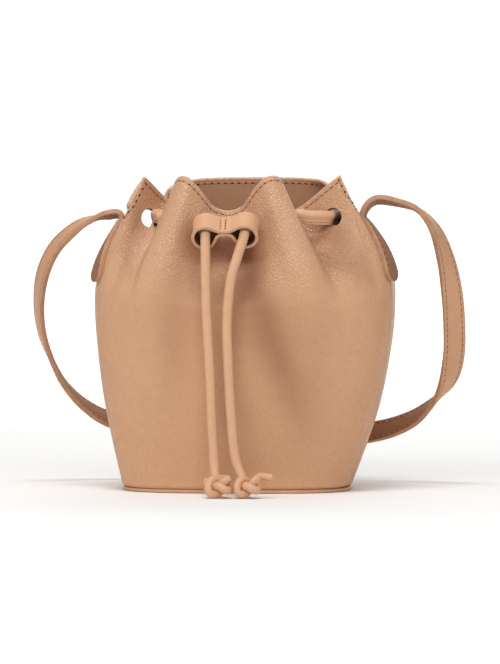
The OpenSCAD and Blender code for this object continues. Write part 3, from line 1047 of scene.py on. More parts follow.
@dataclass
class BagBody:
    """Front and rear panels with their turned rim, the facing inside the mouth, lining and sewn base.

    Flutes are a plan angle, a half width in degrees and a lift. The creased patch is the middle and half
    width of its plan angles, then of its heights. Rings of the sole are an inset, a height and how worn they
    are. Rings of the floor cloth are a share of its size and a rise.
    """

    pitch: float = 0.0011
    layer_pitch: float = 1.6
    rows_low: int = 64
    rows_high: int = 92
    foot: tuple[float, ...] = (0.0, 0.0004, 0.0009, 0.0016, 0.0026, 0.004)
    hem_deep: float = 0.0052
    hem_step: float = 0.0004
    hem_scale: float = 0.1
    roll: tuple[float, ...] = (25, 50, 75, 90, 105, 130, 155, 180)
    rim_rub: float = 0.0022
    foot_scale: float = 0.118
    foot_rub: tuple[float, float] = (0.5, 0.004)
    grain_low: float = 0.26
    fold_smooth: float = 0.6
    edge_band: float = 0.0024
    groove: float = 0.00020
    groove_wide: float = 0.0007
    seam_groove: float = 0.0009
    seam_wide: float = 0.0009
    base_tuck: float = 0.0011
    tuck_high: float = 0.0011
    slack: tuple[float, float] = (0.00055, 0.00035)
    flutes: tuple[Point, ...] = ((236.0, 9.0, 0.0030), (263.0, 10.0, -0.0035), (294.0, 8.0, 0.0042))
    creased: Profile = ((309.0, 4.5), (1.5, 0.17))
    hole_deep: float = 0.007
    hole_search: float = 1.6
    sole_spokes: int = 220
    sole_edge: tuple[Point, ...] = (
        (-0.030, 0.0, 0.0), (-0.006, 0.0, 0.0), (-0.0012, 0.00005, 0.3), (-0.0004, 0.0003, 0.8),
        (0.0001, 0.0008, 1.0), (0.0002, 0.0014, 1.0), (-0.0001, 0.0019, 0.8), (-0.0008, 0.00235, 0.4),
        (-0.003, 0.0025, 0.0),
    )
    sole_grain: float = 0.4
    cloth_spokes: int = 160
    cloth_h: float = 0.017
    cloth_z: float = 0.0051
    cloth: Profile = (
        (1.0, 0.0012), (0.995, 0.0004), (0.97, 0.0001), (0.85, 0.0),
        (0.6, 0.0005), (0.3, 0.0008), (0.02, 0.001),
    )

    def relief(self, t: Array, h: Array) -> Array:
        """How far the worked surface stands off the plain wall.

        Args:
            t: Plan angles.
            h: Heights, the same shape.

        Returns:
            Lifts in metres: slack and flutes of the hide, the stitch groove under the rim, side seams and the
            tuck at the base.
        """
        a = np.radians(t)
        slow = self.slack[0] * np.sin(2 * a + 3.1 * h + 0.4) * np.sin(3.3 * h)
        quick = self.slack[1] * np.sin(7 * a - 2.3 * h + 1.1) * np.sin(2.2 * h + 0.5)
        slack = (slow + quick) * ease(h / 0.5) * ease((1.9 - h) / 0.5)
        flutes = sum(deep * np.exp(-((((t % 360) - mid) / wide) ** 2)) for mid, wide, deep in self.flutes)
        slack = slack + flutes * ease((h - 0.4) / 0.8) * ease((1.75 - h) / 0.5)
        below = (RIM_H - h) * (np.linalg.norm(WALL.at(t, h) - WALL.at(t, h - 0.01), axis=-1) / 0.01)
        sunk = -self.groove * np.exp(-(((below - self.edge_band) / self.groove_wide) ** 2))
        band = np.where(h > FACING_H, sunk, 0)
        degree = np.linalg.norm(WALL.at(t + 0.5, h) - WALL.at(t - 0.5, h), axis=-1)
        turns = (np.abs((t - seam + 180) % 360 - 180) for seam in SEAMS.values())
        away = np.minimum(*turns) * degree
        seam = -self.seam_groove * np.exp(-((away / self.seam_wide) ** 2))
        above = h * (WALL.bulge_z - WALL.base_z)
        tuck = -self.base_tuck * np.exp(-((above / self.tuck_high) ** 2))
        return slack + band + seam + tuck

    def stretch_mark(self, t: Array, h: Array) -> Array:
        """Where the hide shows fine drawn creases: in one patch below the outer cord hole on the right."""
        (mid_t, wide_t), (mid_h, wide_h) = self.creased
        return np.exp(-(((t - mid_t) / wide_t) ** 2) - (((h - mid_h) / wide_h) ** 2))

    def painted_shade_mark(self, t: Array, h: Array) -> Array:
        """Where painted shade darkens the hide: in the gathers round the front."""
        return np.clip(sum(shade_patch.share(t, h) for shade_patch in SHADE_PATCHES), 0, 1)

    def net(self, cols: Array, rows: Array) -> Array:
        """The outer face as rows and columns of points."""
        t, h = np.meshgrid(cols, rows)
        return WALL.off(t, h, self.relief(t, h))

    def punch(self, net: Array, holes: Sequence[float]) -> tuple[Array, Array, list[Array]]:
        """Cuts round cord holes out of a net.

        Args:
            net: Points as rows, columns, 3.
            holes: Plan angles of the holes.

        Returns:
            The moved points, the faces left, and the corner pairs round each hole.
        """
        points, quads, edges = net.reshape(-1, 3).copy(), net_quads(*net.shape[:2]), []
        for t in holes:
            mid, way = WALL.off(t, HOLE_H, -LEATHER), WALL.normal(t, HOLE_H)
            d = points - mid
            depth = d @ way
            flat = d - depth[:, None] * way
            far = np.linalg.norm(flat, axis=1)
            near = (np.abs(depth) < self.hole_deep) & (far < self.hole_search * HOLE_D)
            centre = points[quads].mean(axis=1) - mid
            c_depth = centre @ way
            c_far = np.linalg.norm(centre - c_depth[:, None] * way, axis=1)
            gone = near[quads].all(axis=1) & (c_far < HOLE_D / 2)
            lip = np.intersect1d(quads[gone], quads[~gone])
            points[lip] += flat[lip] / far[lip, None] * (HOLE_D / 2 - far[lip, None])
            pairs = np.stack([quads[gone], np.roll(quads[gone], -1, axis=1)], axis=-1).reshape(-1, 2)
            count = Counter((min(a, b), max(a, b)) for a, b in pairs.tolist())
            edges.append(np.array([p for p, c in count.items() if c == 1], int))
            quads = quads[~gone]
        return points, quads, edges

    def heights(self) -> Array:
        """Heights of a panel's rows, closest together at the foot and at the hem."""
        foot = np.array(self.foot) / (WALL.bulge_z - WALL.base_z)
        hem = RIM_H - np.arange(self.hem_deep, 0, -self.hem_step) / self.hem_scale
        low, high = np.linspace(0.05, 1, self.rows_low), np.linspace(1, 1.94, self.rows_high)[1:]
        return np.concatenate([foot, low, high, hem, [RIM_H]])

    def rolled(self, top: Array, cols: Array) -> Array:
        """The rows that turn a panel's top row over the facing."""
        up, out = unit(WALL.at(cols, RIM_H) - WALL.at(cols, 1.985)), WALL.normal(cols, RIM_H)
        half = MOUTH_PLY / 2
        turns = np.radians(self.roll)
        return np.array([top + up * half * math.sin(f) - out * half * (1 - math.cos(f)) for f in turns])

    def panel(self, panel: Panel) -> None:
        """One panel with its rim turned over the facing and its holes lined with their cut edge."""
        cols, rows = WALL.columns(panel.first, panel.last, self.pitch), self.heights()
        net = self.net(cols, rows)
        net = np.concatenate([net, self.rolled(net[-1], cols)])
        points, quads, lips = self.punch(net, panel.holes)
        draft = Draft()
        draft.add(points, quads.tolist(), 0)
        for t, lip in zip(panel.holes, lips):
            ids = np.unique(lip)
            order = {v: k for k, v in enumerate(ids.tolist())}
            n, rim = len(ids), points[ids]
            wall = np.concatenate([rim, rim - WALL.normal(t, HOLE_H) * MOUTH_PLY])
            draft.add(wall, [(order[a], order[b], order[b] + n, order[a] + n) for a, b in lip.tolist()], 1)
        piece = draft.to_object(f"{panel.name}_panel_hide", [BODY_HIDE.material(), DARK_EDGE_AND_SHADE.material()])
        self.mark_hide(piece, *np.meshgrid(cols, np.append(rows, [RIM_H] * len(self.roll))))
        place(piece, Body.BAG, Slot.BODY, f"{panel.name}_panel")

    def mark_hide(self, piece: Piece, t: Array, h: Array) -> None:
        """Stores where a panel is rubbed, creased, painted with shade and grained, at its points' angles and
        heights.
        """
        rim, foot = (RIM_H - h) * self.hem_scale, h * self.foot_scale
        wear, high = self.foot_rub
        rubbed = np.clip(1 - rim / self.rim_rub, 0, 1) + wear * np.exp(-((foot / high) ** 2))
        mark_points(piece, "edge", rubbed)
        mark_points(piece, "stretch", self.stretch_mark(t % 360, h))
        # Painted shade in the gathers, stored for the hide's shader; grain and gloss are lowered there too.
        painted_shade = self.painted_shade_mark(t % 360, h)
        mark_points(piece, "painted_shade", painted_shade)
        grain = self.grain_low + (1 - self.grain_low) * ease((h - 0.9) / 0.6)
        mark_points(piece, "grain", grain * (1 - self.fold_smooth * painted_shade))

    def layer(self, panel: Panel, layer: Layer) -> None:
        """A layer inside a panel, as a thin sheet whose lower edge is turned to the wall."""
        cols = WALL.columns(panel.first, panel.last, self.pitch * self.layer_pitch)
        rows = np.linspace(layer.low, layer.high, max(int((layer.high - layer.low) * 60), 12))
        t, h = np.meshgrid(cols, rows)
        net = WALL.off(t, h, self.relief(t, np.minimum(h, 1.9)) * (h < 1.95) - layer.depth)
        back = WALL.off(t[:1], h[:1], -(LEATHER + 2 * PLY) + 0 * t[:1])
        points, quads, _ = self.punch(np.concatenate([back, net]), panel.holes if layer.pierced else ())
        draft = Draft()
        draft.add(points, quads[:, ::-1].tolist(), 0)
        node = f"{panel.name}_{layer.name}"
        place(draft.to_object(f"{node}_sheet", [layer.finish.material()]), Body.BAG, layer.slot, node)

    def rim_row(self, panel: Panel, inside: bool) -> tuple[Array, Array]:
        """Route and surface direction of the stitches under a panel's rim, on its outer or inner side."""
        cols = WALL.columns(panel.first + 0.6, panel.last - 0.6, self.pitch)
        t, h = WALL.hem(cols, self.edge_band)
        n = WALL.normal(t, h)
        lift = -MOUTH_PLY if inside else self.relief(t, h)
        return WALL.off(t, h, lift), (-n if inside else n)

    def build(self) -> None:
        """Makes and places every piece of the body."""
        for panel in PANELS:
            self.panel(panel)
            for layer in LAYERS:
                self.layer(panel, layer)
            rows = [self.rim_row(panel, inside) for inside in (False, True)]
            place(RIM_STITCH.piece(f"{panel.name}_rim_stitches", rows), Body.BAG, Slot.BODY)
        self.sole()
        self.floor_cloth()
        dress_node("base_board", BOARD)

    def sole(self) -> None:
        """The base with its rounded, turned edge."""
        n = self.sole_spokes
        turn = np.linspace(0, 360, n, endpoint=False)
        rings = []
        for inset, z, _ in self.sole_edge:
            x, y = oblong(turn, WALL.base[0] / 2 + inset, WALL.base[1] / 2 + inset, WALL.base_round)
            rings.append(np.stack([x, y, np.full_like(x, z)], axis=1))
        draft = Draft()
        first = draft.grid(np.array(rings), 0, ring=True)
        hub = draft.add(np.zeros((1, 3)), [])
        draft.faces += [(first + (i + 1) % n, first + i, hub) for i in range(n)]
        draft.finish += [0] * n
        base = draft.to_object("base_sole", [BASE_HIDE.material()])
        mark_points(base, "edge", np.repeat([wear for _, _, wear in self.sole_edge], n))
        mark_points(base, "grain", np.full(draft.count, self.sole_grain))
        place(base, Body.BAG, Slot.BASE, "base_panel")

    def floor_cloth(self) -> None:
        """The lining over the base, a little domed, with its edge turned up the wall."""
        n = self.cloth_spokes
        turn = np.linspace(0, 360, n, endpoint=False)
        edge = WALL.low(turn, np.full_like(turn, self.cloth_h))
        edge[:, :2] -= (LEATHER + 2 * PLY) * unit(edge[:, :2])
        rings = []
        for share, rise in self.cloth:
            rings.append(np.column_stack([edge[:, :2] * share, np.full(n, self.cloth_z + rise)]))
        draft = Draft()
        draft.grid(np.array(rings), 0, ring=True)
        draft.faces.append(tuple(range(draft.count - n, draft.count)))
        draft.finish.append(0)
        place(draft.to_object("lining_base", [LINING.material()]), Body.BAG, Slot.LINING, "lining_floor")


def dress_node(node: str, finish: Finish) -> None:
    """Gives a solid that stays on show its finish."""
    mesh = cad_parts[node].data
    mesh.materials.clear()
    mesh.materials.append(finish.material())
    LOG.info("%s keeps its solid", node)


STRAP_ROUTE: tuple[tuple[Point, Point], ...] = (
    ((-0.084, -0.015, 0.1775), (0, 1, -0.25)),
    ((-0.094, -0.013, 0.175), (-0.05, 1, 0.15)),
    ((-0.106, -0.009, 0.1685), (-0.25, 0.9, 0.4)),
    ((-0.1195, 0.0, 0.1565), (-0.45, 0.85, 0.3)),
    ((-0.1285, 0.01, 0.1405), (-0.5, 0.85, 0.15)),
    ((-0.133, 0.022, 0.122), (-0.4, 0.9, 0)),
    ((-0.133, 0.034, 0.102), (-0.3, 0.95, -0.05)),
    ((-0.1285, 0.044, 0.0845), (-0.15, 1, -0.05)),
    ((-0.1205, 0.0545, 0.066), (0, 1, 0)),
    ((-0.1075, 0.064, 0.051), (0.15, 0.95, 0.2)),
    ((-0.09, 0.0705, 0.041), (0.2, 0.75, 0.55)),
    ((-0.06, 0.073, 0.036), (0, 0.1, 1)),
    ((0.0, 0.074, 0.033), (0, 0, 1)),
    ((0.06, 0.073, 0.032), (0, 0, 1)),
    ((0.088, 0.069, 0.034), (-0.1, 0.45, 0.9)),
    ((0.111, 0.0615, 0.042), (-0.2, 0.75, 0.6)),
    ((0.1265, 0.0505, 0.0545), (0, 1, 0.15)),
    ((0.1355, 0.041, 0.067), (0.7, 0.7, 0.1)),
    ((0.14, 0.032, 0.085), (1, 0.25, 0)),
    ((0.1405, 0.022, 0.105), (1, 0.2, 0)),
    ((0.139, 0.012, 0.127), (0.9, 0.45, 0)),
    ((0.135, 0.004, 0.149), (0.65, 0.75, 0)),
    ((0.1275, -0.006, 0.169), (0.35, 0.95, 0)),
    ((0.1155, -0.011, 0.182), (0.1, 1, -0.1)),
    ((0.0975, -0.012, 0.187), (0, 1, -0.25)),
)


TAB_BENDS: dict[Side, Profile] = {
    Side.LEFT: ((0.0005, 0.0025), (0.003, 0.004)),
    Side.RIGHT: ((0.0005, 0.004), (0.004, 0.009), (0.009, 0.0125)),
}


@dataclass
class ShoulderStrap:
    """The strap and the tabs that carry it, cut from one strip: two plies, sewn along both edges."""

    width: float = 0.0145
    thick: float = 0.0035
    tab_length: float = 0.040
    row_inset: float = 0.0023
    pitch: float = 0.0012
    lead: float = 0.046
    turn: float = 0.16
    tip_steps: tuple[float, ...] = (0.0001, 0.0004, 0.0008)
    tip_half: float = 0.0012
    settle_reach: int = 14
    settle_rounds: int = 60
    twist_length: float = 0.029
    patch_half: float = 5.0
    patch_net: tuple[int, int] = (15, 26)
    patch_drop: float = 0.06

    def section(self, half: float) -> tuple[Array, list[int]]:
        """The strap's section with a crowned middle, sunk stitch rows and rounded, two-ply edges.

        Args:
            half: Half of the width.

        Returns:
            The section's points, and a finish for each side of it: 0 face, 1 edge, 2 back.
        """
        t = self.thick / 2
        row = max(half - self.row_inset, half * 0.3)
        face = [
            (half - 0.0007, t - 0.00012), (row + 0.0007, t + 0.00005), (row, t - 0.00022),
            (row - 0.0007, t + 0.00005), (row * 0.45, t + 0.00018), (0.0, t + 0.00022),
        ]
        face = face + [(-x, y) for x, y in face[-2::-1]]
        edge = [
            (-half + 0.0002, t - 0.0005), (-half, 0.00035), (-half + 0.00022, 0.0),
            (-half, -0.00035), (-half + 0.0002, 0.0005 - t),
        ]
        back, far = ([(-x, -y) for x, y in points] for points in (face, edge))
        finish = [0] * (len(face) - 1) + [1] * (len(edge) + 1) + [2] * (len(back) - 1) + [1] * (len(far) + 1)
        return np.array(face + edge + back + far), finish

    def strip(self, name: str, centre: Array, side: Array, half: Array) -> Piece:
        """A strip of strap.

        Args:
            name: Name of the piece.
            centre: Points of its middle line.
            side: Its width direction at each point.
            half: Its half width at each point.

        Returns:
            The strip, not yet placed.
        """
        u, w = cross_axes(centre, side)
        shapes = [self.section(float(x)) for x in half]
        flat = np.array([points for points, _ in shapes])
        net = centre[:, None] + flat[..., :1] * u[:, None] + flat[..., 1:] * w[:, None]
        rows, n = net.shape[:2]
        draft = Draft()
        first = draft.add(net, [])
        start = first + np.arange(rows - 1) * n
        for i, number in enumerate(shapes[0][1]):
            a, b = start + i, start + (i + 1) % n
            draft.faces += np.stack([a, b, b + n, a + n], axis=1).tolist()
            draft.finish += [number] * (rows - 1)
        draft.close(first, rows, n, 1)
        return draft.to_object(name, [finish.material() for finish in (STRAP_HIDE, STRAP_EDGE, STRAP_BACK)])

    def loop(self) -> tuple[Array, Array]:
        """Middle line and width direction of the free strap, evenly spaced from left to right."""
        fine = smooth_route([p for p, _ in STRAP_ROUTE], 24)
        wide = smooth_route([w for _, w in STRAP_ROUTE], 24)
        s = np.linspace(0, run_lengths(fine)[-1], int(run_lengths(fine)[-1] / self.pitch))
        return at_lengths(fine, fine, s), at_lengths(fine, wide, s)

    def tab_heights(self, seam: float, count: int) -> Array:
        """Heights on the wall from a tab's round end to the rim."""
        drop = self.tab_length / (WALL.at(seam, RIM_H)[2] - WALL.bulge_z)
        return RIM_H - drop * (1 - np.linspace(0, 1, count))

    def tab(self, side: Side) -> tuple[Array, Array]:
        """Middle line and width direction of a tab, from its round end up the wall and over the rim.

        Args:
            side: Which tab.

        Returns:
            Points and width directions, ending at the end of the strap.
        """
        seam = SEAMS[side]
        end = np.array(STRAP_ROUTE[0 if side is Side.LEFT else -1][0])
        h = self.tab_heights(seam, 12)
        lift = 5 * PLY + self.thick / 2
        sewn = WALL.off(np.full_like(h, seam), h, np.full_like(h, lift))
        bend = [sewn[-1] + np.array([side.value * x, 0, z]) for x, z in TAB_BENDS[side]]
        points = np.vstack([sewn, bend, end[None]])
        chord = WALL.at(np.full_like(h, seam + 3), h) - WALL.at(np.full_like(h, seam - 3), h)
        out = WALL.normal(np.full_like(h, seam), h)
        leaning = self.turn * out * np.linalg.norm(chord, axis=-1)[:, None] * side.value
        free = np.tile(STRAP_ROUTE[0][1], (len(bend) + 1, 1))
        return points, np.vstack([side.value * unit(chord + leaning), free])

    def settled(self, points: Array, joint: int) -> Array:
        """A route with the turn where two stretches join eased out.

        Args:
            points: The joined route.
            joint: Number of the point where the second stretch starts.

        Returns:
            The eased route.
        """
        eased = points.copy()
        reach = np.clip(1 - np.abs(np.arange(len(points)) - joint) / self.settle_reach, 0, 1)[:, None]
        for _ in range(self.settle_rounds):
            middle = (eased[:-2] + eased[2:]) / 2
            eased[1:-1] += 0.5 * reach[1:-1] * (middle - eased[1:-1])
        return eased

    def half_widths(self, s: Array) -> Array:
        """Half width along a tab, round at its end."""
        r = self.width / 2
        a = np.clip(r - s - 0.0002, 0, r)
        return np.maximum(np.sqrt(r * r - a * a), self.tip_half)

    def rows(self, centre: Array, side: Array, half: Array) -> list[tuple[Array, Array]]:
        """Stitch rows along both edges of a strip, on its face and its back."""
        u, w = cross_axes(centre, side)
        inset = (half - self.row_inset)[:, None]
        sunk = self.thick / 2 - 0.00019
        return [(centre + k * inset * u + f * w * sunk, f * w) for k in (-1, 1) for f in (1, -1)]

    def tab_strip(self, side: Side, lead: Array, lead_wide: Array) -> None:
        """A tab with its lead to the strap.

        Args:
            side: Which tab.
            lead: Middle line of the strap's end, from the tab on.
            lead_wide: Its width directions.
        """
        label = side.label
        sewn, sewn_wide = (smooth_route(points, 6) for points in self.tab(side))
        joined = self.settled(np.vstack([sewn, lead[1:]]), len(sewn))
        joined_wide = -side.value * np.vstack([sewn_wide, lead_wide[1:]])
        total = run_lengths(joined)[-1]
        s = np.concatenate([self.tip_steps, np.linspace(0, total, int(total / self.pitch))[1:]])
        centre, wide = at_lengths(joined, joined, s), at_lengths(joined, joined_wide, s)
        half = self.half_widths(s)
        piece = self.strip(f"tab_{label}_strip", centre, wide, half)
        clear = s > self.width * 0.35
        rows = self.rows(centre[clear], wide[clear], half[clear])
        for part in (piece, STRAP_STITCH.piece(f"tab_{label}_stitches", rows)):
            self.carry(part)
        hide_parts(f"tab_{label}")

    def build(self) -> None:
        """Makes the two tabs with their leads, the strap between and the patches behind the tabs."""
        loop, wide = self.loop()
        run = run_lengths(loop)
        first, last = run <= self.lead, run >= run[-1] - self.lead
        self.tab_strip(Side.LEFT, loop[first], wide[first])
        self.tab_strip(Side.RIGHT, loop[last][::-1], wide[last][::-1])
        middle = (run >= self.lead - self.pitch) & (run <= run[-1] - self.lead + self.pitch)
        course = (loop[middle], wide[middle], np.full(middle.sum(), self.width / 2))
        place(self.strip("strap_strip", *course), Body.STRAP, Slot.STRAP, "strap")
        place(STRAP_STITCH.piece("strap_stitches", self.rows(*course)), Body.STRAP, Slot.STRAP)
        self.patches()

    def carry(self, piece: Piece) -> None:
        """Bakes a lead's place into its mesh, on neither the bag nor the swinging strap."""
        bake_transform(piece)
        LOG.info("%s twists from %s to %s", piece.name, Body.BAG.value, Body.STRAP.value)

    def patches(self) -> None:
        """The leather patch inside the bag behind each tab."""
        for side, seam in SEAMS.items():
            cols = seam + np.linspace(-self.patch_half, self.patch_half, self.patch_net[0])
            t, h = np.meshgrid(cols, self.tab_heights(seam, self.patch_net[1]) - self.patch_drop)
            depth = LEATHER + FACING + 4 * PLY
            face = WALL.off(t, h, np.full_like(t, -depth - FACING))
            rim = WALL.off(t, h, np.full_like(t, -depth))
            draft = Draft()
            draft.grid(face, 0, flip=True)
            for line, near in ((rim[0], face[0]), (face[-1], rim[-1])):
                draft.grid(np.array([line, near]), 1, flip=True)
            for k, turned in ((0, False), (-1, True)):
                draft.grid(np.array([rim[:, k], face[:, k]]), 1, flip=turned)
            label = side.label
            piece = draft.to_object(f"patch_{label}_leather", [FACING_HIDE.material(), PALE_EDGE.material()])
            place(piece, Body.BAG, Slot.FACING, f"patch_{label}")


@dataclass(frozen=True)
class FoldedCord:
    """A leather strip folded round and sewn along its open edge: a round nose with a flat seam behind it."""

    nose: float = 0.0031
    seam: float = 0.0060
    leaf: float = 0.0013
    balance: float = 0.0012
    row_share: float = 0.42
    row_shift: float = 0.0002
    row_sink: float = 0.99

    def section(self) -> Array:
        """Section points, the seam along the first direction, about the middle of the strip."""
        round_part = np.radians(np.linspace(38, 322, 17))
        nose = np.stack([self.nose * np.cos(round_part), self.nose * np.sin(round_part)], axis=1)
        tip = self.seam
        flat = [
            (0.0034, -1.12), (0.0044, -1.0), (tip - 0.0003, -0.95), (tip, -0.6), (tip - 0.0001, -0.08),
            (tip - 0.0004, 0.0),
            (tip - 0.0001, 0.08), (tip, 0.6), (tip - 0.0003, 0.95), (0.0044, 1.0), (0.0034, 1.12),
        ]
        leaves = np.array([(x, y * self.leaf) for x, y in flat])
        return np.vstack([nose, leaves]) - np.array([self.balance, 0.0])

    def draw(self, name: str, route: Array, seam_to: Array) -> tuple[Piece, Piece]:
        """The cord along a route, and its stitches.

        Args:
            name: Name of the piece; its stitches take the same with a suffix.
            route: Points of the middle line.
            seam_to: The way its seam faces at each point.

        Returns:
            The cord and its stitches, not yet placed.
        """
        draft = Draft()
        draft.sweep(route, seam_to, self.section())
        u, w = cross_axes(route, seam_to)
        row = self.nose + self.row_share * (self.seam - self.nose) + self.row_shift - self.balance
        rows = [(route + row * u + k * self.leaf * self.row_sink * w, k * w) for k in (1, -1)]
        return draft.to_object(name, [CORD_HIDE.material()]), CORD_STITCH.piece(name + "_stitches", rows)


CORD = FoldedCord()


@dataclass
class Drawcord:
    """The cord that gathers the mouth, where the bag holds it: in and out of the holes and round the rear."""

    outside: float = 0.0042
    inside: float = -(MOUTH_PLY + 0.0045)
    left_nudge: float = 4.0
    right_nudge: float = -1.2
    hole_reach: float = 0.009
    hole_deep: float = 0.012
    hole_fade: tuple[float, float] = (0.0015, 0.004)
    hole_shade_share: float = 0.85
    steps: int = 520

    def way_in(self, t: float) -> Array:
        """Two points straight through a hole, from outside in."""
        return WALL.off(np.array([t, t]), np.full(2, HOLE_H), np.array([0.0015, -LEATHER - 0.003]))

    def stretch(self, start: float, end: float, parts: Sequence[float], lift: float) -> Array:
        """Points along the wall between two plan angles."""
        t = start + (end - start) * np.array(parts)
        return WALL.off(t, np.full_like(t, HOLE_H), np.full_like(t, lift))

    def across(self, start: float, end: float, parts: Sequence[float], lift: float) -> Array:
        """Points straight from one place on the wall to another."""
        p, q = self.stretch(start, end, (0.0, 1.0), lift)
        return p + (q - p) * np.array(parts)[:, None]

    def left_side(self) -> Array:
        """From the second left hole, across the outer hole and straight to the rear hole inside the mouth."""
        _, second, outer, rear = HOLES[Side.LEFT]
        bridge = self.across(second, outer + self.left_nudge, (0.5, 1.0), 0.0)
        bridge[:, 2] = WALL.at(outer, HOLE_H)[2] + 0.0015
        inner = self.across(outer + self.left_nudge, rear, (0.25, 0.5, 0.75), self.inside)
        return np.vstack([self.way_in(second)[::-1] - np.array([0, 0, 0.0035]), bridge, inner])

    def right_side(self) -> Array:
        """From the second right hole, in at the outer hole and along the side seam to the rear hole."""
        _, second, outer, rear = HOLES[Side.RIGHT]
        shifted, seam = outer + self.right_nudge, 360 + WALL.seam_right
        bridge = np.vstack([
            self.across(second, shifted, (0.25, 0.75), self.outside),
            self.way_in(shifted),
            self.stretch(shifted, outer, (0.0,), -0.013),
        ])
        bridge[:, 2] = WALL.at(outer, HOLE_H)[2]
        beside = self.across(outer, seam, (0.45, 0.75, 1.0), self.inside - 0.003)
        inner = self.across(seam + 0.35 * (rear - seam), rear, (0.0, 0.35, 0.7), self.inside - 0.0085)
        return np.vstack([self.way_in(second)[::-1], bridge, beside, inner])

    def half(self, side: Side, way_round: Array, middle: float) -> Array:
        """Half of the run, from the hole by the slider round one side to the middle of the rear.

        Args:
            side: Which half.
            way_round: Its points from the second hole to the rear hole.
            middle: Plan angle of the middle of the rear.

        Returns:
            The half's points.
        """
        first, second, _, rear = HOLES[side]
        return np.vstack([
            WALL.off(np.array([first]), np.array([HOLE_H]), np.array([-LEATHER])),
            self.way_in(first)[1:],
            self.stretch(first, second, (0.3, 0.65), self.inside),
            way_round,
            self.way_in(rear)[::-1],
            self.stretch(rear, middle, (0.25, 0.6, 1.0), self.outside),
        ])

    def hole_shade(self, points: Array) -> Array:
        """How much painted shade the cord takes where it goes into the two outer front holes."""
        dark = np.zeros(len(points))
        for t in (HOLES[Side.LEFT][2] + self.left_nudge, HOLES[Side.RIGHT][2] + self.right_nudge):
            away = points - WALL.at(t, HOLE_H)
            out = WALL.normal(np.array([t]), np.array([HOLE_H]))[0]
            depth = away @ out
            near = np.linalg.norm(away - depth[:, None] * out, axis=1) < self.hole_reach
            shade = ease((self.hole_fade[0] - depth) / self.hole_fade[1])
            dark = np.maximum(dark, near * (depth > -self.hole_deep) * shade)
        return self.hole_shade_share * dark

    def build(self) -> None:
        """Makes the run as one strip with its seam to the floor."""
        left = self.half(Side.LEFT, self.left_side(), 90)
        right = self.half(Side.RIGHT, self.right_side(), 450)
        route = smooth_route(np.vstack([left, right[-2::-1]]), 8)
        route = at_lengths(route, route, np.linspace(0, run_lengths(route)[-1], self.steps))
        cord, stitches = CORD.draw("drawcord", route, np.tile([0.0, 0.0, -1.0], (len(route), 1)))
        # Painted shade on the cord where it runs into the outer front holes.
        mark_points(cord, "painted_shade", self.hole_shade(np.array([v.co[:] for v in cord.data.vertices])))
        place(cord, Body.BAG, Slot.CORD, "drawcord_run")
        place(stitches, Body.BAG, Slot.CORD)


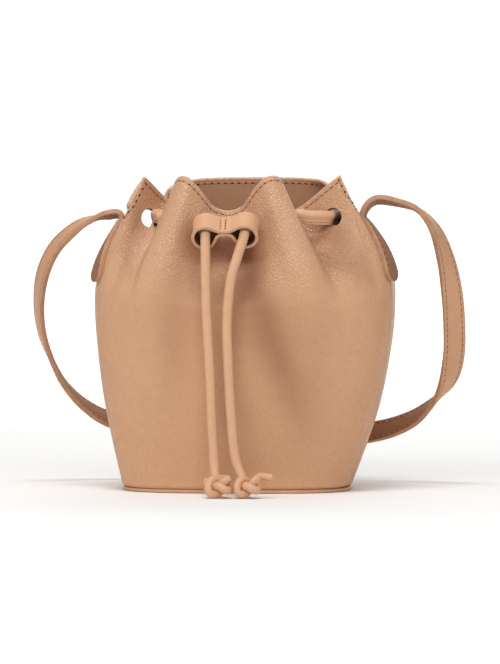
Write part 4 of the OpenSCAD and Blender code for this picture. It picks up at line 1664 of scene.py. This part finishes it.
@dataclass
class CordTail:
    """One end of the drawcord: out of its hole, through a tube of the slider, down the front to its knot."""

    side: Side
    hang: tuple[Point, ...]
    knot_at: Point
    knot_tip: tuple[float, float]
    knot_turn: int
    slider: "CordSlider"
    knot_size: Point = (0.0031, 0.0024, 0.0027)
    knot_cord: float = 0.0027
    knot_span: tuple[float, float] = (-2.02, 2.06)
    knot_steps: int = 110
    knot_lean: Point = (0.0, 0.80, 0.60)
    knot_sides: int = 14
    knot_flat: float = 0.92
    steps: int = 200
    free_below: float = 0.055

    def route(self) -> Array:
        """The whole middle line from the hole to the knot."""
        hole = np.full(2, HOLES[self.side][0])
        start = WALL.off(hole, np.full(2, HOLE_H), np.array([-LEATHER + 0.0003, 0.005]))
        bore = [self.slider.slack_point(self.side, along) for along in (-0.5, 0.0, 0.4)]
        return smooth_route(np.vstack([start, bore, self.hang, [self.knot_at]]), 14)

    def draw(self, name: str, route: Array) -> tuple[Piece, Piece]:
        """A stretch of the tail and its stitches, its seam to the bag so that the round side shows."""
        return CORD.draw(name, route, np.tile([0.0, 1.0, 0.12], (len(route), 1)))

    def build(self) -> None:
        """Makes the short feed behind the slider, the hanging tail and its knot."""
        label = self.side.label
        whole = self.route()
        fine = at_lengths(whole, whole, np.linspace(0, run_lengths(whole)[-1], self.steps))
        middle, front, rear = (self.slider.bore_point(self.side, along) for along in (0.1, 0.5, -0.5))
        cut = int(np.argmin(np.linalg.norm(fine - middle, axis=1)))
        feed, tail = fine[: cut + 1], fine[cut:]
        feed_pieces = self.draw(f"cord_feed_{label}", feed)
        tail_pieces = self.draw(f"cord_tail_{label}", tail)
        knot = self.knot(label, tail)
        for piece in feed_pieces:
            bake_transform(piece)
        for piece in tail_pieces:
            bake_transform(piece)
        for piece in feed_pieces + tail_pieces:
            LOG.info("%s between %s and %s", piece.name, Body.BAG.value, Body.SLIDER.value)
        place(knot, Body.BAG, Slot.CORD, f"knot_{label}")
        tail_piece, tail_sewn = tail_pieces
        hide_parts(f"tail_{label}")

    def knot(self, label: str, tail: Array) -> Piece:
        """An overhand knot: the cord crosses itself three times, over and under by turns, and ends in a cut.

        Args:
            label: Side, for the name.
            tail: Middle line of the tail that runs into the knot.

        Returns:
            The knot, not yet placed.
        """
        sx, sy, lift = self.knot_size
        turn = np.linspace(*self.knot_span, self.knot_steps)
        crossings = (-2.3, -1.93, -1.732, -0.518, 0.518, 1.732, 1.93, 2.3)
        over = (0.0, -1.0, 1.0, -1.0, 1.0, -1.0, 1.0, 0.4)
        i = np.clip(np.searchsorted(crossings, turn) - 1, 0, len(over) - 2)
        k = ease((turn - np.take(crossings, i)) / (np.take(crossings, i + 1) - np.take(crossings, i)))
        z = np.take(over, i) + (np.take(over, i + 1) - np.take(over, i)) * k
        x, y = turn**3 - 3 * turn, turn**4 - 4 * turn**2 + 1.6
        back = unit(np.array(self.knot_lean))
        across = np.array([-float(self.knot_turn), 0.0, 0.0])
        out = np.cross(across, back)
        mid = np.array(self.knot_at)
        path = mid + np.outer(x * sx, across) + np.outer(y * sy, back) + np.outer(z * lift, out)
        end = path[-1] + np.array([*self.knot_tip, -0.001])
        path = np.vstack([tail[-26:-14:4], path, [(path[-1] + end) / 2 + [0, 0, 0.0006], end]])
        path = smooth_route(path[::2], 3)
        path[:, 2] = np.maximum(path[:, 2], self.knot_cord + 0.0001)
        around = np.linspace(0, 2 * math.pi, self.knot_sides, endpoint=False)
        ring = np.stack([np.cos(around), np.sin(around) * self.knot_flat], axis=1) * self.knot_cord
        draft = Draft()
        draft.sweep(path, self.carried(path), ring)
        return draft.to_object(f"cord_knot_{label}", [CORD_HIDE.material()], sharp=60)

    def carried(self, path: Array) -> Array:
        """A side direction carried along a route without twist."""
        way = headings(path)
        side = [square_to(np.array([0.0, 0.0, 1.0]), way[0])]
        for w in way[1:]:
            side.append(square_to(side[-1], w))
        return np.array(side)


@dataclass
class CordSlider:
    """The slider: a leather strip closed into a loop, pinched in the middle and sewn there into two tubes.

    Its leaf points are in millimetres, for the right half, from the top of the waist round the tube to its
    underside.
    """

    middle: Point = (-0.003, -0.064, 0.1672)
    tilt: float = 128.0
    tube_pitch: float = 0.0245
    length: float = 0.015
    slack: float = 0.002
    leaf: float = 0.0021
    seam_shift: float = -0.0012
    roll: float = 2.0
    row_gap: float = 0.0016
    row_inset: float = 0.0012
    row_steps: int = 12
    groove: tuple[float, float] = (0.0004, 0.0005)
    lip: float = 0.00045
    flare: float = 0.035
    leaf_points: Profile = (
        (0.0, 4.0), (1.8, 4.0), (3.8, 4.3), (5.8, 5.3), (8.8, 7.0), (12.2, 7.8),
        (15.6, 6.9), (18.3, 4.3), (19.6, 0.2), (18.8, -3.9), (16.2, -6.8), (12.4, -7.9),
        (9.0, -6.6), (6.8, -3.6), (5.2, -0.4), (3.6, 1.3), (1.8, 1.7), (0.0, 1.7),
    )

    def axes(self) -> tuple[Array, Array, Array]:
        """Across the tubes, through the waist, and along the tubes towards the front opening."""
        a, r = math.radians(self.tilt), math.radians(self.roll)
        along = np.array([0.0, -math.sin(a), math.cos(a)])
        up = np.array([0.0, math.cos(a), math.sin(a)])
        across = np.array([1.0, 0.0, 0.0])
        return across * math.cos(r) + up * math.sin(r), up * math.cos(r) - across * math.sin(r), along

    def bore_point(self, side: Side, along: float) -> Array:
        """A point on a tube's axis, at a share of its length from the middle."""
        across, _, way = self.axes()
        return np.array(self.middle) + side.value * self.tube_pitch / 2 * across + along * self.length * way

    def slack_point(self, side: Side, along: float) -> Array:
        """Where the cord lies in a tube: on its axis at the front, a little above it at the rear."""
        return self.bore_point(side, along) + np.array([0, 0, self.slack * (0.5 - along)])

    def outline(self) -> tuple[Array, Array]:
        """Middle line of the strip all the way round and its outward directions, in a plane across."""
        right = smooth_route(np.array(self.leaf_points) * 0.001, 6)
        line = np.vstack([right, (right * [-1, 1])[-2:0:-1]])
        way = unit(np.roll(line, -1, axis=0) - np.roll(line, 1, axis=0))
        return line, np.stack([-way[:, 1], way[:, 0]], axis=1)

    def ring(self, offset: Array, at: float) -> Array:
        """One turn of the strip at an offset from its middle line and a place along the tubes."""
        line, out = self.outline()
        across, up, along = self.axes()
        p = line * (1 + self.flare * (at / (self.length / 2)) ** 2) + out * offset[:, None]
        return np.array(self.middle) + np.outer(p[:, 0], across) + np.outer(p[:, 1], up) + at * along

    def rounded(self, outer: Array, inner: Array, end: int) -> list[Array]:
        """The rounded cut edge from outer to inner face, at the front where end is 1, at the rear for -1."""
        ends, soft = self.length / 2, self.lip * 0.3
        offsets = (outer - soft, outer - self.lip, inner + self.lip, inner + soft)
        places = (ends - soft, ends, ends, ends - soft)
        return [self.ring(offset, end * at) for offset, at in zip(offsets, places)]

    def rows(self) -> list[tuple[Array, Array]]:
        """Two stitch rows through the waist, on its upper and its lower side."""
        across, up, along = self.axes()
        ends = self.length / 2 - self.row_inset
        course = np.array(self.middle) + np.linspace(-ends, ends, self.row_steps)[:, None] * along
        rows = []
        for x in (self.seam_shift - self.row_gap, self.seam_shift + self.row_gap):
            for sign, (_, waist) in ((1, self.leaf_points[0]), (-1, self.leaf_points[-1])):
                y = waist * 0.001 + sign * (self.leaf / 2 - 0.00020)
                rows.append((course + x * across + y * up, np.tile(sign * up, (self.row_steps, 1))))
        return rows

    def build(self) -> None:
        """Makes the slider and its two rows of stitches."""
        line, _ = self.outline()
        deep, wide = self.groove
        inner = np.full(len(line), -self.leaf / 2)
        off_row = np.abs(line[:, 0] - self.seam_shift) - self.row_gap
        outer = -inner - deep * np.exp(-((off_row / wide) ** 2))
        ends = self.length / 2 - self.lip
        steps = np.linspace(-ends, ends, 17)
        skin = [self.ring(outer, a) for a in steps]
        bore = [self.ring(inner, a) for a in steps[::-1]]
        draft = Draft()
        draft.grid(np.array(skin), 0, ring=True)
        draft.grid(np.array([skin[-1], *self.rounded(outer, inner, 1), bore[0]]), 1, ring=True)
        # The bore inside the tubes takes the dark finish as painted shade.
        draft.grid(np.array(bore), 2, ring=True)
        draft.grid(np.array([bore[-1], *self.rounded(outer, inner, -1)[::-1], skin[0]]), 1, ring=True)
        finishes = [finish.material() for finish in (SLIDER_HIDE, PALE_EDGE, DARK_EDGE_AND_SHADE)]
        place(draft.to_object("slider_strip", finishes), Body.SLIDER, Slot.SLIDER, "slider")
        place(SLIDER_STITCH.piece("slider_stitches", self.rows()), Body.SLIDER, Slot.SLIDER)


@dataclass
class SoftBox:
    """One large soft lamp: where it stands, where it points, its size and its power."""

    name: str
    at: Point
    to: Point
    size: tuple[float, float]
    power: float

    def build(self) -> None:
        """Adds the lamp."""
        data = bpy.data.lights.new(self.name, "AREA")
        data.shape = "RECTANGLE"
        data.size, data.size_y = self.size
        data.energy = self.power
        lamp = bpy.data.objects.new(self.name, data)
        lamp.location = self.at
        lamp.rotation_euler = (Vector(self.to) - Vector(self.at)).to_track_quat("-Z", "Y").to_euler()
        bpy.context.scene.collection.objects.link(lamp)


@dataclass
class Studio:
    """Camera, lamps and floor."""

    turn: float = 4.0
    distance: float = 2.2
    eye: float = 0.150
    aim: Point = (0.0081, 0.0, 0.1018)
    view_height: float = 0.4316
    sensor: float = 0.036
    clip: tuple[float, float] = (0.05, 20.0)
    surround: Colour = (1.0, 0.99, 0.975, 1.0)
    surround_power: float = 0.32
    floor_tone: Colour = (0.92, 0.92, 0.91, 1.0)
    floor_half: float = 7.0
    floor_run: tuple[float, ...] = (-6.0, 0.0, 2.0, 3.6)
    sweep_at: float = 4.2
    sweep: float = 1.8
    sweep_top: float = 5.0
    lamps: tuple[SoftBox, ...] = (
        SoftBox("key", (-0.15, -1.2, 0.95), (0.0, 0.0, 0.12), (1.7, 0.18), 9.5),
        SoftBox("top", (-0.05, -0.4, 1.5), (0.0, 0.0, 0.12), (0.5, 0.4), 8.5),
        SoftBox("left", (-1.3, -0.55, 0.3), (0.0, 0.0, 0.09), (0.5, 0.5), 1.5),
        SoftBox("right", (1.3, -0.55, 0.3), (0.0, 0.0, 0.09), (0.5, 0.5), 1.2),
        SoftBox("back", (0.1, 1.1, 1.2), (0.0, 0.0, 0.15), (1.4, 0.8), 6.0),
        SoftBox("sweep", (0.0, 2.4, 2.6), (0.0, 5.0, 0.2), (4.0, 1.2), 150.0),
    )

    def camera(self) -> None:
        """Adds the camera at the photograph's angle."""
        data = bpy.data.cameras.new("camera")
        data.sensor_width = self.sensor * 1000
        data.lens = self.sensor * 1000 * self.distance / self.view_height
        data.clip_start, data.clip_end = self.clip
        eye = bpy.data.objects.new("camera", data)
        a = math.radians(self.turn)
        aim = Vector(self.aim)
        across, back = aim.x * math.cos(a) + self.distance * math.sin(a), -self.distance * math.cos(a)
        eye.location = Vector((across, back, self.eye))
        eye.rotation_euler = (aim - eye.location).to_track_quat("-Z", "Y").to_euler()
        bpy.context.scene.collection.objects.link(eye)
        bpy.context.scene.camera = eye

    def light(self) -> None:
        """Adds the lamps, the pale surroundings and the floor."""
        for lamp in self.lamps:
            lamp.build()
        world = bpy.data.worlds.new("surroundings")
        world.use_nodes = True
        ground = world.node_tree.nodes["Background"]
        ground.inputs["Color"].default_value = self.surround
        ground.inputs["Strength"].default_value = self.surround_power
        bpy.context.scene.world = world
        bpy.context.scene.view_settings.view_transform = "Standard"
        self.floor()

    def floor(self) -> None:
        """Adds a pale floor that sweeps up far behind the bag."""
        bend = np.linspace(0.0, math.pi / 2, 25)
        turn = [(self.sweep_at + self.sweep * math.sin(a), self.sweep * (1.0 - math.cos(a))) for a in bend]
        profile = [*((y, 0.0) for y in self.floor_run), *turn, (turn[-1][0], self.sweep_top)]
        net = np.array([[(x, y, z) for x in (-self.floor_half, 0.0, self.floor_half)] for y, z in profile])
        draft = Draft()
        draft.grid(net)
        paint = bpy.data.materials.new("pale_floor")
        paint.use_nodes = True
        skin = paint.node_tree.nodes["Principled BSDF"]
        skin.inputs["Base Color"].default_value = self.floor_tone
        skin.inputs["Roughness"].default_value = 0.9
        skin.inputs["Specular IOR Level"].default_value = 0.1
        draft.to_object("floor", [paint])


def main() -> None:
    """Builds the scene: camera and cords first, then the bag round them."""
    logging.basicConfig(level=logging.INFO, format="%(name)s: %(message)s")
    studio = Studio()
    studio.camera()
    slider = CordSlider()
    Drawcord().build()
    CordTail(
        Side.LEFT,
        (
            (-0.015, -0.070, 0.150), (-0.0142, -0.071, 0.115), (-0.0122, -0.071, 0.080),
            (-0.011, -0.071, 0.050), (-0.0095, -0.072, 0.026), (-0.008, -0.077, 0.0115),
            (-0.006, -0.086, 0.008),
        ),
        (-0.005, -0.093, 0.008),
        (0.002, -0.007),
        1,
        slider,
    ).build()
    CordTail(
        Side.RIGHT,
        (
            (0.0045, -0.070, 0.149), (0.0008, -0.071, 0.135), (-0.0014, -0.071, 0.110),
            (-0.0008, -0.071, 0.085), (0.0008, -0.071, 0.055), (0.0036, -0.073, 0.026),
            (0.0085, -0.078, 0.012), (0.011, -0.087, 0.008),
        ),
        (0.013, -0.093, 0.008),
        (0.008, -0.003),
        -1,
        slider,
    ).build()
    slider.build()
    BagBody().build()
    ShoulderStrap().build()
    studio.light()


if __name__ == "__main__":
    main()
